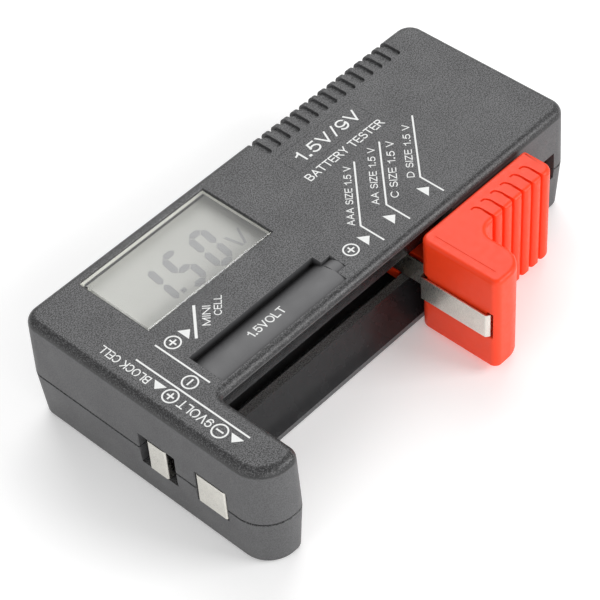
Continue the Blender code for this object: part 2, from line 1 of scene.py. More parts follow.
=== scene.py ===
"""Battery tester: the visible surfaces, materials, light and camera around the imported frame.

Lengths are in millimetres until a piece is finished. "along" runs from the 9 V end,
"across" from the display side and "height" from the base, as the frame's boxes do.
"""
from math import asin, atan2, cos, degrees, hypot, pi, radians, sin, sqrt, tan

import bmesh
import bpy
from mathutils import Matrix, Vector

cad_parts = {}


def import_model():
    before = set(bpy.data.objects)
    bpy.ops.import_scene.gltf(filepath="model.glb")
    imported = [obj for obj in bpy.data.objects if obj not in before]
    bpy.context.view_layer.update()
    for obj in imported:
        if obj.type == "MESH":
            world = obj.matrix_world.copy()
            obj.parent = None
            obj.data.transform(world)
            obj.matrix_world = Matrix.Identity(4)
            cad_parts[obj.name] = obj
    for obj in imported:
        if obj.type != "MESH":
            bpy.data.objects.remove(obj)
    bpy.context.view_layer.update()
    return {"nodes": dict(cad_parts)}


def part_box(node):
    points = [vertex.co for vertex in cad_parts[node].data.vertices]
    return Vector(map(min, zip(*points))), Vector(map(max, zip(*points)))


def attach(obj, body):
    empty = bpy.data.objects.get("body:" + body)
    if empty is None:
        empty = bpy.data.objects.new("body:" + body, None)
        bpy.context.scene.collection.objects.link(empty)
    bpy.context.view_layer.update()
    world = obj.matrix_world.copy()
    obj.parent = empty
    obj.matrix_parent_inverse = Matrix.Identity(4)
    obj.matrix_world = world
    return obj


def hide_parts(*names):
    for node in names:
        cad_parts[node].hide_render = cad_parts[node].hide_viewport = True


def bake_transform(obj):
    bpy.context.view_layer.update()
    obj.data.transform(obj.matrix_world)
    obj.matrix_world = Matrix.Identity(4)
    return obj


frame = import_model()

MM = 0.001
SHARP_ANGLE = radians(35)


def box_mm(node):
    """A node's box as ((along), (across), (height)) limits in millimetres."""
    low, high = (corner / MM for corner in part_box(node))
    return ((low.x + LENGTH / 2, high.x + LENGTH / 2), (WIDTH / 2 - high.y, WIDTH / 2 - low.y),
            (low.z, high.z))


CASE_LOW, CASE_HIGH = (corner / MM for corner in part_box("top_shell"))
LENGTH = CASE_HIGH.x - CASE_LOW.x
WIDTH = CASE_HIGH.y - CASE_LOW.y
HEIGHT = CASE_HIGH.z

# Case
PRINT = 0.02
TOP = HEIGHT - PRINT
BODY_WIDTH = 42.6
END_BLOCK = 10.7
WALL = 1.9
PARTING = 11.8
GAP = 0.3
TOP_FILLET, BASE_FILLET = 1.9, 1.0
TOP_DRAFT, BASE_DRAFT = 0.3, 0.8
CORNER, OUTER_CORNER, INNER_CORNER, ROOT_CORNER = 4.0, 7.0, 3.0, 0.8
SEAM_CHAMFER = 0.12

# Channel, slot and the guide wall behind the slot
CHANNEL_RADIUS, CHANNEL_DEPTH, CHANNEL_END, CHANNEL_HEIGHT = 18.0, 4.4, 73.4, 13.0
CHANNEL_AXIS = BODY_WIDTH - CHANNEL_DEPTH + CHANNEL_RADIUS
LIP = 0.7
SLOT_START, SLOT_END, SLOT_LOW, SLOT_HIGH = 12.7, 104.6, 9.6, 16.2
SLOT_ACROSS = (30.0, 46.0)
GUIDE_WALL, GUIDE_LOW, GUIDE_TOP = (12.5, 97.6, 30.2, 31.0), 0.95, 17.0
LEAD_NOTCH = (20.6, 23.4, 29.0, 32.0)

# Openings and relief in the top
WINDOW = (13.1, 45.8, 2.9, 21.4)
RELIEF = (13.1, 45.7, 31.7, 40.4)
RELIEF_DEPTH = 2.0
RELIEF_CREST, RELIEF_SINK, RELIEF_EDGE = 37.6, 0.05, 0.05
RELIEF_RADIUS = ((RELIEF_CREST - RELIEF[2]) ** 2 + RELIEF_DEPTH ** 2) / (2 * RELIEF_DEPTH)
NOTCH = (45.7, 48.0, 33.9, 38.0)
NUB_ACROSS, NUB_RADIUS = 36.4, 4.0
TITLE_PANEL, PANEL_LINE = (60.8, 82.4, 8.1, 14.5), 0.13

# Grip grooves on the display-side edge
GRIP_COUNT, GRIP_FIRST, GRIP_PITCH = 15, 61.4, 2.725
GRIP_WIDTH, GRIP_DEPTH, GRIP_REACH, GRIP_LOW = 1.7, 0.6, 5.5, 13.5

# Slider
SLIDER_NEAR, SLIDER_FAR = 62.7, 94.3
SLIDER_LOW, SLIDER_HIGH = 1.7, 25.0
SLIDER_FRONT, SLIDER_BACK = 62.1, BODY_WIDTH + 0.35
CLAMP_FAR, THUMB_FACE = 71.6, 50.6
SLIDER_FILLET = 1.0
RIB_COUNT, RIB_FIRST, RIB_PITCH, RIB_GROOVE, RIB_DEPTH = 6, 76.2, 2.9, 1.0, 0.8
NECK = (64.6, 93.0)
HEAD_ACROSS, HEAD_HEIGHT = (32.7, 36.0), (7.6, 16.9)
STRIP, STRIP_HEIGHT, STRIP_EDGE = 0.4, (9.9, 15.7), 0.06
TIP_POCKET = (59.6, 61.0)

# 9 V plates: (low across, high across, low height, high height)
PLATE_POSITIVE = (32.5, 37.2, 7.9, 15.4)
PLATE_NEGATIVE = (44.9, 52.1, 8.6, 15.9)
PLATE_SIDE_SLOT = 2.3
CONTACT_SLOT, CONTACT_HEIGHT = (44.0, 46.4, 9.0, 15.8), (9.4, 15.4)

# Screws
SCREW_SPOTS = ((6.6, 7.0), (5.4, 56.2), (102.8, 7.0), (101.6, 27.5))
BOARD_SPOTS = ((12.0, 26.6), (58.8, 6.4), (58.8, 26.6))
BOARD_TOP = box_mm("circuit_board")[2][1]
BOSS_RADIUS, PILOT_RADIUS, SHANK_RADIUS = 2.7, 1.35, 1.0
BASE_BOSS_RADIUS, CLEAR_RADIUS, HEAD_HOLE_RADIUS = 3.5, 1.5, 2.7
HEAD_RADIUS, HEAD_SEAT, HEAD_THICKNESS = 2.3, 6.0, 1.5

# Return spring
SPRING_ACROSS, SPRING_HEIGHT, SPRING_RADIUS, WIRE_RADIUS = 34.3, 19.2, 1.5, 0.25
SPRING_TURNS, ANCHOR_ALONG, POST_RADIUS = 46, 5.2, 1.2


# ---- mesh tools

def world(along, across, height):
    """A place given as along, across and height, on the world's axes."""
    return Vector((along - LENGTH / 2, WIDTH / 2 - across, height))


PLACE = {
    "along": lambda u, v, w: world(w, u, v),
    "across": lambda u, v, w: world(u, w, v),
    "up": lambda u, v, w: world(u, v, w),
}


def place_object(name, data):
    made = bpy.data.objects.new(name, data)
    bpy.context.collection.objects.link(made)
    return made


def new_object(name, bm):
    bmesh.ops.remove_doubles(bm, verts=bm.verts, dist=1e-4)
    bmesh.ops.recalc_face_normals(bm, faces=bm.faces)
    mesh = bpy.data.meshes.new(name)
    bm.to_mesh(mesh)
    bm.free()
    return place_object(name, mesh)


def boolean(target, operation, *tools):
    """Work on a piece with tools, which are used up."""
    for tool in tools:
        step = target.modifiers.new(operation.lower(), "BOOLEAN")
        step.operation = operation
        step.solver = "EXACT"
        step.object = tool
        bpy.context.view_layer.update()
        graph = bpy.context.evaluated_depsgraph_get()
        result = bpy.data.meshes.new_from_object(target.evaluated_get(graph))
        target.modifiers.clear()
        target.data = result
        bpy.data.objects.remove(tool, do_unlink=True)
    return target


def cut(target, *tools):
    return boolean(target, "DIFFERENCE", *tools)


def join(target, *tools):
    return boolean(target, "UNION", *tools)


def finish_piece(target, materials, replaced=(), body="case"):
    """Scale a piece to metres, shade it and put it on its body."""
    mesh = target.data
    mesh.transform(Matrix.Scale(MM, 4))
    for material in materials:
        mesh.materials.append(material)
    mesh.shade_smooth()
    mesh.set_sharp_from_angle(angle=SHARP_ANGLE)
    mesh.name = target.name
    weighted = target.modifiers.new("weighted_normals", "WEIGHTED_NORMAL")
    weighted.keep_sharp = True
    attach(target, body)
    if replaced:
        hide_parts(*replaced)


def paint(target, index, test):
    """Give the faces whose centre passes a test another material slot."""
    for face in target.data.polygons:
        centre = face.center
        spot = (centre.x + LENGTH / 2, WIDTH / 2 - centre.y, centre.z)
        if test(spot, face.normal):
            face.material_index = index


def vectors(*points):
    return [Vector(point) for point in points]


def rounded_outline(corners):
    """Points of a polygon whose corners (along, across, radius, steps) are arcs."""
    points = []
    spots = [Vector(corner[:2]) for corner in corners]
    for index, (_, _, radius, steps) in enumerate(corners):
        corner = spots[index]
        to_last = (spots[index - 1] - corner).normalized()
        to_next = (spots[(index + 1) % len(spots)] - corner).normalized()
        half = to_last.angle(to_next) / 2
        centre = corner + (to_last + to_next).normalized() * radius / sin(half)
        first = corner + to_last * radius / tan(half) - centre
        last = corner + to_next * radius / tan(half) - centre
        sweep = first.angle_signed(last)
        for step in range(steps + 1):
            turn = Matrix.Rotation(-sweep * step / steps, 2)
            points.append(centre + turn @ first)
    return points


def rectangle(low_u, high_u, low_v, high_v):
    return vectors((low_u, low_v), (high_u, low_v), (high_u, high_v), (low_u, high_v))


def circle(u, v, radius, steps=48):
    return [Vector((u + radius * cos(2 * pi * k / steps),
                    v + radius * sin(2 * pi * k / steps))) for k in range(steps)]


def bow(x, y, reach_x, reach_y, first, last, steps=10):
    """Points along part of an ellipse between two angles in degrees."""
    angles = (radians(first + (last - first) * k / steps) for k in range(steps + 1))
    return [(x + reach_x * cos(a), y + reach_y * sin(a)) for a in angles]


def arc(centre, radius, first, last, steps):
    """Points along an arc between two angles in degrees."""
    return vectors(*bow(*centre, radius, radius, first, last, steps))


def left_of(way):
    """A direction turned by a quarter turn to its left."""
    return Vector((-way.y, way.x))


def inset_outline(points, distance):
    """Move every point of a closed outline inwards by a distance."""
    area = sum(a.x * b.y - b.x * a.y for a, b in zip(points, points[1:] + points[:1]))
    side = 1 if area > 0 else -1
    moved = []
    for index, point in enumerate(points):
        last = (point - points[index - 1]).normalized()
        following = (points[(index + 1) % len(points)] - point).normalized()
        normals = [left_of(edge) * side for edge in (last, following)]
        shift = (normals[0] + normals[1]) / (1 + normals[0].dot(normals[1]))
        moved.append(point + shift * distance)
    return moved


def skin(bm, rings):
    """Join rings of vertices into a closed solid with flat ends."""
    count = len(rings[0])
    for low, high in zip(rings, rings[1:]):
        for index in range(count):
            after = (index + 1) % count
            bm.faces.new((low[index], low[after], high[after], high[index]))
    bm.faces.new(rings[0])
    bm.faces.new(rings[-1])


def add_stack(bm, outline, levels, direction="up"):
    """Add a solid whose outline is inset by a distance at each level."""
    place = PLACE[direction]
    rings = []
    for w, inset in levels:
        ring = inset_outline(outline, inset) if inset else outline
        rings.append([bm.verts.new(place(p[0], p[1], w)) for p in ring])
    skin(bm, rings)


def stack(name, outline, levels, direction="up"):
    bm = bmesh.new()
    add_stack(bm, outline, levels, direction)
    return new_object(name, bm)


def stacks(name, *solids):
    """Several solids that don't touch, as one object."""
    bm = bmesh.new()
    for solid in solids:
        add_stack(bm, *solid)
    return new_object(name, bm)


def span(low, high):
    return [(low, 0.0), (high, 0.0)]


def block(name, limits, low, high):
    """An upright box from its along and across limits and its two heights."""
    return stack(name, rectangle(*limits), span(low, high))


def columns(spots, radius, levels, steps=48):
    """Upright round solids at several spots."""
    return [(circle(*spot, radius, steps), levels) for spot in spots]


def flared(low, face, chamfer, beyond=1.0):
    """Levels of a cutter that leaves a chamfer where it meets a face."""
    side = 1 if face > low else -1
    return [(low, 0.0), (face - side * chamfer, 0.0), (face + side * beyond, -chamfer - beyond)]


def fillet_levels(edge, radius, inset, steps, inward):
    """Levels of a rounded edge that ends at the given height."""
    levels = []
    for k in range(steps + 1):
        angle = pi / 2 * k / steps
        levels.append((edge - inward * radius * (1 - sin(angle)),
                       inset + radius * (1 - cos(angle))))
    return levels


def tube(name, points, radius, sides):
    """A round wire along a list of (along, across, height) points."""
    path = [world(*point) for point in points]
    bm = bmesh.new()
    rings = []
    side = Vector((0, 0, 1))
    for index, spot in enumerate(path):
        before, after = path[max(index - 1, 0)], path[min(index + 1, len(path) - 1)]
        heading = (after - before).normalized()
        side = (side - heading * side.dot(heading)).normalized()
        other = heading.cross(side)
        rings.append([
            bm.verts.new(spot + (side * cos(t) + other * sin(t)) * radius)
            for t in (2 * pi * k / sides for k in range(sides))
        ])
    skin(bm, rings)
    return new_object(name, bm)


def strip_outline(points, thickness):
    """The outline of a bent metal strip from its centre line."""
    spots = vectors(*points)
    left, right = [], []
    for index, spot in enumerate(spots):
        before = (spot - spots[index - 1]).normalized() if index else None
        after = (spots[index + 1] - spot).normalized() if index < len(spots) - 1 else None
        normals = [left_of(edge) for edge in (before, after) if edge]
        total = sum(normals, Vector((0, 0)))
        shift = total / (1 + normals[0].dot(normals[-1])) if len(normals) == 2 else total
        left.append(spot + shift * thickness / 2)
        right.append(spot - shift * thickness / 2)
    return left + right[::-1]


def bent_line(stops, radius, steps=5):
    """A line whose inner corners are arcs of a radius."""
    spots = vectors(*stops)
    points = [spots[0]]
    for before, corner, after in zip(spots, spots[1:], spots[2:]):
        back, on = (before - corner).normalized(), (after - corner).normalized()
        half = back.angle(on) / 2
        reach = radius / tan(half)
        start, end = corner + back * reach, corner + on * reach
        for k in range(steps + 1):
            t = k / steps
            points.append(start * (1 - t) ** 2 + corner * 2 * t * (1 - t) + end * t ** 2)
    points.append(spots[-1])
    return points


# ---- materials

def set_inputs(node, **values):
    """Set a node's sockets by name, with underscores for spaces."""
    for socket, value in values.items():
        node.inputs[socket.replace("_", " ")].default_value = value
    return node


class Shader:
    """A Principled material with short calls for the nodes it needs."""

    def __init__(self, name, colour, roughness, metallic=0.0, **plain):
        self.material = bpy.data.materials.new(name)
        self.material.use_nodes = True
        self.tree = self.material.node_tree
        self.shader = self.tree.nodes["Principled BSDF"]
        self.colour = colour
        set_inputs(self.shader, Base_Color=(*colour, 1), Roughness=roughness, Metallic=metallic,
                   **plain)
        self.place = self.add("ShaderNodeTexCoord").outputs["Object"]

    def add(self, kind, **values):
        node = self.tree.nodes.new(kind)
        for key, value in values.items():
            setattr(node, key, value)
        return node

    def link(self, source, target):
        self.tree.links.new(source, target)

    def stretched(self, scale):
        """Coordinates stretched by a vector."""
        node = set_inputs(self.add("ShaderNodeMapping"), Scale=scale)
        self.link(self.place, node.inputs["Vector"])
        return node.outputs["Vector"]

    def noise(self, size, detail=2.0, rough=0.5, place=None):
        """Noise whose features are about a size in millimetres."""
        node = set_inputs(self.add("ShaderNodeTexNoise"), Scale=1 / (size * MM), Detail=detail,
                          Roughness=rough)
        self.link(place or self.place, node.inputs["Vector"])
        return node.outputs["Fac"]

    def remap(self, source, low, high, to_low=0.0, to_high=1.0):
        node = set_inputs(self.add("ShaderNodeMapRange"), From_Min=low, From_Max=high,
                          To_Min=to_low, To_Max=to_high)
        self.link(source, node.inputs["Value"])
        return node.outputs["Result"]

    def part(self, source, axis):
        """One axis of a vector."""
        node = self.add("ShaderNodeSeparateXYZ")
        self.link(source, node.inputs[0])
        return node.outputs[axis]

    def height(self, low, high):
        """0 below a height and 1 above another, in millimetres."""
        return self.remap(self.part(self.place, "Z"), low * MM, high * MM)

    def along(self, low, high):
        """0 at one place along the case and 1 at another, in millimetres."""
        ends = ((CASE_LOW.x + spot) * MM for spot in (low, high))
        return self.remap(self.part(self.place, "X"), *ends)

    def math(self, operation, *values):
        node = self.add("ShaderNodeMath", operation=operation)
        for index, value in enumerate(values):
            if isinstance(value, (int, float)):
                node.inputs[index].default_value = value
            else:
                self.link(value, node.inputs[index])
        return node.outputs[0]

    def vary_colour(self, source, dark, light):
        """Run the base colour between two multiples of itself."""
        node = self.add("ShaderNodeMix", data_type="RGBA")
        for socket, share in ((6, dark), (7, light)):
            node.inputs[socket].default_value = (*(min(c * share, 1) for c in self.colour), 1)
        self.link(source, node.inputs["Factor"])
        self.link(node.outputs[2], self.shader.inputs["Base Color"])

    def vary_roughness(self, source, low, high):
        self.link(self.remap(source, 0.3, 0.7, low, high), self.shader.inputs["Roughness"])

    def bump(self, source, depth, strength=1.0):
        """Relief of a depth in millimetres; the last step, which gives the material."""
        node = set_inputs(self.add("ShaderNodeBump"), Distance=depth * MM)
        if isinstance(strength, float):
            node.inputs["Strength"].default_value = strength
        else:
            self.link(strength, node.inputs["Strength"])
        self.link(source, node.inputs["Height"])
        self.link(node.outputs["Normal"], self.shader.inputs["Normal"])
        return self.material


def grained_plastic():
    """Spark-textured black plastic: strong grain on top, faint on the sides, smoother edges in painted
    shade.
    """
    made = Shader("case_grain_edge_shade", (0.098, 0.098, 0.101), 0.5, Specular_IOR_Level=0.45)
    grain = made.noise(0.26, 3.0, 0.65)
    fine = made.noise(0.12, 2.0, 0.6)
    both = made.math("ADD", made.math("MULTIPLY", grain, 0.7), made.math("MULTIPLY", fine, 0.3))
    facing = made.add("ShaderNodeNewGeometry").outputs["Normal"]
    tilt = made.math("ABSOLUTE", made.part(facing, "Z"))
    upper = made.remap(tilt, 0.25, 0.6)
    # The rounded edges, which are smoother and carry painted shade
    edge = made.math("MULTIPLY", made.remap(tilt, 0.06, 0.2),
                     made.remap(tilt, 0.999, 0.975))
    speckle = made.remap(both, 0.43, 0.57, -0.75, 0.75)
    speckle = made.math("MULTIPLY", speckle, made.remap(upper, 0, 1, 0.22, 1.0))
    # Painted shade: the rounded edges get a darker base colour than the flat faces
    shade = made.math("ADD", speckle, made.remap(edge, 0, 1, 0.55, 0.0))
    made.vary_colour(shade, 0.22, 1.40)
    rough = made.math("ADD", made.remap(made.noise(6.0), 0.3, 0.7, -0.05, 0.05),
                      made.remap(edge, 0, 1, 0.52, 0.34))
    made.link(rough, made.shader.inputs["Roughness"])
    return made.bump(both, 0.05, made.remap(upper, 0, 1, 0.15, 1.0))


def smooth_shaded_plastic():
    """The polished black of the cell channel, whose near-black colour is painted shade."""
    # Painted shade: a base colour far darker than the case's stands in for the channel's shadow
    made = Shader("case_polish_painted_shade", (0.014, 0.014, 0.015), 0.28, Specular_IOR_Level=0.3)
    made.vary_colour(made.noise(2.5, 4.0), 0.75, 1.3)
    made.vary_roughness(made.noise(4.0, 5.0), 0.2, 0.32)
    return made.bump(made.noise(0.6, 4.0, 0.6), 0.006, 0.6)


def satin_shaded_plastic():
    """The finely grained black of the cell relief, with painted shade deeper in its recess."""
    made = Shader("case_satin_painted_shade", (0.085, 0.085, 0.088), 0.42, Specular_IOR_Level=0.5)
    # Painted shade: the colour darkens the deeper the surface lies below the top
    depth = made.height(TOP - 1.7, TOP - 0.25)
    mottle = made.remap(made.noise(0.5, 4.0), 0.3, 0.7, -0.06, 0.06)
    made.vary_colour(made.math("ADD", depth, mottle), 0.16, 1.1)
    made.vary_roughness(made.noise(4.0, 5.0), 0.36, 0.48)
    return made.bump(made.noise(0.3, 3.0, 0.6), 0.008, 0.5)


def red_plastic():
    made = Shader("slider_red", (0.95, 0.052, 0.008), 0.4, Specular_IOR_Level=0.38,
                  Subsurface_Weight=0.12, Subsurface_Scale=0.0012)
    made.vary_colour(made.noise(3.5, 5.0, 0.6), 0.93, 1.07)
    made.vary_roughness(made.noise(1.2, 5.0), 0.34, 0.46)
    return made.bump(made.noise(0.22, 3.0, 0.6), 0.012, 0.45)


def brushed_metal(name, colour, low, high, stretch=(1.0, 14.0, 1.0)):
    made = Shader(name, colour, low, 1.0)
    lines = made.noise(0.9, 5.0, 0.65, made.stretched(stretch))
    made.vary_colour(made.noise(1.6, 4.0), 0.86, 1.1)
    made.vary_roughness(lines, low, high)
    return made.bump(lines, 0.01, 0.5)


def mottled(name, colour, roughness, size, depth, spread=0.18, **plain):
    """A dull moulded or dipped surface with soft variation at one scale."""
    made = Shader(name, colour, roughness, **plain)
    made.vary_colour(made.noise(size, 4.0), 1 - spread, 1 + spread)
    made.vary_roughness(made.noise(size * 0.6, 3.0), max(roughness - 0.08, 0), roughness + 0.08)
    return made.bump(made.noise(size * 0.25, 3.0), depth, 0.6)


def print_ink():
    made = Shader("print_white", (0.86, 0.87, 0.86), 0.55)
    made.vary_colour(made.noise(0.35, 3.0), 0.86, 1.08)
    return made.bump(made.noise(0.2, 2.0), 0.006, 0.5)


def lcd_backing():
    """The display's silvery reflector behind its glass, with painted shade darkening it towards the far
    end.
    """
    made = Shader("lcd_reflector_painted_shade", (0.47, 0.475, 0.445), 0.45, Specular_IOR_Level=0.3)
    mottle = made.remap(made.noise(2.5, 3.0), 0.3, 0.7, -0.07, 0.07)
    # Painted shade: the colour darkens from the window's near end to its far end
    made.vary_colour(made.math("ADD", mottle, made.along(WINDOW[1], WINDOW[0])), 0.86, 1.08)
    return made.bump(made.noise(3.0, 2.0), 0.004, 0.3)


def pane_acrylic():
    made = Shader("pane_clear", (1.0, 1.0, 1.0), 0.02, Transmission_Weight=1.0, IOR=1.45)
    return made.bump(made.noise(9.0, 2.0), 0.004, 0.25)


def board_laminate():
    """Green laminate with paler copper tracks under the mask."""
    made = Shader("board_green", (0.035, 0.17, 0.07), 0.38)
    tracks = set_inputs(made.add("ShaderNodeTexBrick"), Scale=220.0)
    made.link(made.place, tracks.inputs["Vector"])
    made.vary_colour(tracks.outputs["Fac"], 0.8, 1.7)
    made.vary_roughness(made.noise(2.0), 0.3, 0.45)
    return made.bump(tracks.outputs["Fac"], 0.03, 0.5)


def dress_frame(finishes):
    """Give the CAD nodes that stay in view their finer materials."""
    looks = {
        "rail_brass": brushed_metal("rail_brass_fine", (0.72, 0.54, 0.26), 0.22, 0.4),
        "frame_plastic": mottled("frame_white", (0.74, 0.74, 0.71), 0.5, 2.0, 0.01, 0.05),
        "zebra_rubber": mottled("zebra_dark", (0.09, 0.09, 0.09), 0.75, 0.8, 0.02),
        "board_laminate": board_laminate(),
        "epoxy_black": mottled("epoxy_dark", (0.018, 0.018, 0.018), 0.3, 1.5, 0.03),
        "resistor_body": mottled("resistor_tan", (0.58, 0.45, 0.29), 0.5, 0.9, 0.03),
        "inductor_sleeve": mottled("inductor_dark", (0.05, 0.05, 0.05), 0.5, 0.9, 0.02),
        "capacitor_sleeve": mottled("capacitor_blue", (0.04, 0.06, 0.18), 0.35, 1.2, 0.01),
        "diode_glass": mottled("diode_orange", (0.62, 0.18, 0.04), 0.18, 0.7, 0.01),
        "wire_red": mottled("wire_red_skin", (0.5, 0.025, 0.02), 0.42, 0.7, 0.01),
        "wire_black": mottled("wire_black_skin", (0.025, 0.025, 0.025), 0.42, 0.7, 0.01),
        "screw_steel": finishes["steel"],
    }
    for node in frame["nodes"].values():
        slot = node.data.materials[0].name.split(".")[0]
        if slot in looks:
            node.data.materials.clear()
            node.data.materials.append(looks[slot])


# ---- case shells

def case_outline():
    return rounded_outline((
        (0, 0, CORNER, 12),
        (0, WIDTH, OUTER_CORNER, 20),
        (END_BLOCK, WIDTH, INNER_CORNER, 12),
        (END_BLOCK, BODY_WIDTH, ROOT_CORNER, 5),
        (LENGTH, BODY_WIDTH, CORNER, 12),
        (LENGTH, 0, CORNER, 12),
    ))


def side_inset(height):
    """Draft of the side faces, which are widest at the parting line."""
    if height < PARTING:
        return BASE_DRAFT * (PARTING - height) / (PARTING - BASE_FILLET)
    return TOP_DRAFT * (height - PARTING) / (TOP - TOP_FILLET - PARTING)


def channel_cutter():
    """The round channel, with a soft lip where it meets the top edge."""
    fillet = Vector((BODY_WIDTH - TOP_DRAFT - TOP_FILLET, TOP - TOP_FILLET))
    axis = Vector((CHANNEL_AXIS, CHANNEL_HEIGHT))
    near, far = TOP_FILLET - LIP, CHANNEL_RADIUS + LIP
    between = axis - fillet
    reach = (between.length_squared + near ** 2 - far ** 2) / (2 * between.length)
    rise = sqrt(near ** 2 - reach ** 2)
    heading = between.normalized()
    lip = fillet + heading * reach + left_of(heading) * rise
    on_channel, on_fillet = axis - lip, lip - fillet
    first = degrees(atan2(on_channel.y, on_channel.x))
    last = degrees(atan2(on_fillet.y, on_fillet.x))
    to_lip = degrees(atan2(-on_channel.y, -on_channel.x)) % 360
    low = 180 + degrees(asin((CHANNEL_HEIGHT - 0.4) / CHANNEL_RADIUS))
    outline = arc(axis, CHANNEL_RADIUS, low, to_lip, 120)
    outline += arc(lip, LIP, first, last, 8)[1:]
    away = outline[-1] + on_fillet.normalized() * 4
    outline += [away, *vectors((CHANNEL_AXIS, away.y), (CHANNEL_AXIS, outline[0].y))]
    return stack("channel", outline, span(END_BLOCK, CHANNEL_END), "along")


def wall_keeper():
    """The wall that stays between the channel and the room inside."""
    ring = circle(CHANNEL_AXIS, CHANNEL_HEIGHT, CHANNEL_RADIUS + WALL, 96)
    return stack("channel_wall", ring, span(END_BLOCK - WALL, CHANNEL_END + WALL), "along")


def side_openings():
    """The slider's slot, the fixed contact's slot and the 9 V plate holes."""
    low, high, bottom, top = PLATE_POSITIVE
    positive = rectangle(low - PLATE_SIDE_SLOT, high + PLATE_SIDE_SLOT, bottom - GAP, top + GAP)
    low, high, bottom, top = PLATE_NEGATIVE
    negative = rectangle(low - GAP, high + GAP, bottom - GAP, top + GAP)
    slot = rectangle(SLOT_START, SLOT_END, SLOT_LOW, SLOT_HIGH)
    contact = rectangle(*CONTACT_SLOT)
    return stacks(
        "openings",
        (positive, flared(WALL + 0.5, 0.0, 0.18), "along"),
        (negative, flared(WALL + 0.5, 0.0, 0.18), "along"),
        (slot, span(*SLOT_ACROSS), "across"),
        (contact, flared(END_BLOCK - WALL - 0.5, END_BLOCK, 0.15, 0.6), "along"),
    )


def grip_cutter():
    """Rounded grooves that run over the display-side top edge."""
    centre = (TOP_FILLET + TOP_DRAFT, TOP - TOP_FILLET)
    floor = arc(centre, TOP_FILLET - GRIP_DEPTH, 180, 90, 10)
    top = floor[-1].y
    outline = floor + vectors(
        (GRIP_REACH + 2, top), (GRIP_REACH + 2, HEIGHT + 1), (-1, HEIGHT + 1), (-1, GRIP_LOW),
        (side_inset(GRIP_LOW) + GRIP_DEPTH, GRIP_LOW))
    end = GRIP_FIRST + GRIP_PITCH * GRIP_COUNT
    tool = stack("grips", outline, span(GRIP_FIRST - 2, end), "along")
    radius = GRIP_WIDTH / 2
    solids = []
    for number in range(GRIP_COUNT):
        along = GRIP_FIRST + GRIP_PITCH * number
        shape = arc((along, GRIP_REACH), radius, 0, 180, 12)
        shape += vectors((along - radius, -2), (along + radius, -2))
        solids.append((shape, span(GRIP_LOW - 1, HEIGHT + 2)))
    return boolean(tool, "INTERSECT", stacks("grip_shapes", *solids))


def relief_cutter(limits, crest, radius):
    """A recess that leaves a round back whose crest lies just under the top."""
    levels = flared(TOP - RELIEF_DEPTH, TOP, RELIEF_EDGE)
    tool = stack("relief", rectangle(*limits), levels)
    cell = circle(crest, TOP - RELIEF_SINK - radius, radius, 180)
    return cut(tool, stack("relief_cell", cell, span(limits[0] - 2, limits[1] + 2), "along"))


def title_frame():
    """A fine engraved line around the title's panel."""
    tool = block("panel", TITLE_PANEL, TOP - 0.04, TOP + 1)
    inner = inset_outline(rectangle(*TITLE_PANEL), PANEL_LINE)
    return cut(tool, stack("panel_inner", inner, span(TOP - 1, TOP + 2)))


def build_upper_case(materials):
    outline = case_outline()
    low = PARTING + GAP / 2
    levels = [(low, side_inset(PARTING) + SEAM_CHAMFER), (low + SEAM_CHAMFER, side_inset(PARTING))]
    levels += fillet_levels(TOP, TOP_FILLET, TOP_DRAFT, 12, 1)
    shell = stack("upper_case", outline, levels)
    cut(shell, channel_cutter())
    ceiling = TOP - WALL
    room = stack("room", outline, [(PARTING - 1, side_inset(PARTING) + WALL),
                                         (ceiling, side_inset(ceiling) + WALL)])
    floor = (RELIEF[0] - WALL, NOTCH[1] + WALL, RELIEF[2] - WALL, BODY_WIDTH)
    cut(room, wall_keeper(), block("relief_floor", floor, TOP - RELIEF_DEPTH - WALL, TOP))
    cut(shell, room, side_openings(),
        stack("window_hole", rectangle(*WINDOW), flared(TOP - 4, TOP, 0.2)),
        relief_cutter(RELIEF, RELIEF_CREST, RELIEF_RADIUS),
        relief_cutter(NOTCH, NUB_ACROSS, NUB_RADIUS), grip_cutter(), title_frame())
    bosses, pilots = [], []
    for spots, foot in ((SCREW_SPOTS, PARTING + 0.4), (BOARD_SPOTS, BOARD_TOP + GAP)):
        bosses += columns(spots, BOSS_RADIUS, span(foot, TOP - WALL / 2))
        pilots += columns(spots, PILOT_RADIUS, span(foot - 1, TOP - WALL - 1), 24)
    post = span(SPRING_HEIGHT - 2.0, TOP - WALL / 2)
    bosses += columns([(ANCHOR_ALONG, SPRING_ACROSS)], POST_RADIUS, post, 32)
    join(shell, stacks("bosses", *bosses))
    cut(shell, stacks("pilots", *pilots))
    # The channel's wall gets the polished material, whose near-black colour is painted shade
    paint(shell, 1, is_polished_and_shaded)
    paint(shell, 2, is_relief)
    finish_piece(shell, materials, ("top_shell",))


def is_polished_and_shaded(spot, normal):
    """True on the channel's wall, which gets the polished material in painted shade."""
    along, across, height = spot
    from_axis = hypot(across - CHANNEL_AXIS, height - CHANNEL_HEIGHT)
    return (END_BLOCK + 0.01 < along < CHANNEL_END + 0.01
            and abs(from_axis - CHANNEL_RADIUS) < 0.05)


def is_relief(spot, normal):
    along, across, height = spot
    return (RELIEF[0] - 0.01 < along < NOTCH[1] + 0.01
            and RELIEF[2] - 0.01 < across < RELIEF[3] + 0.01
            and TOP - RELIEF_DEPTH - 0.01 < height < TOP - 0.004)


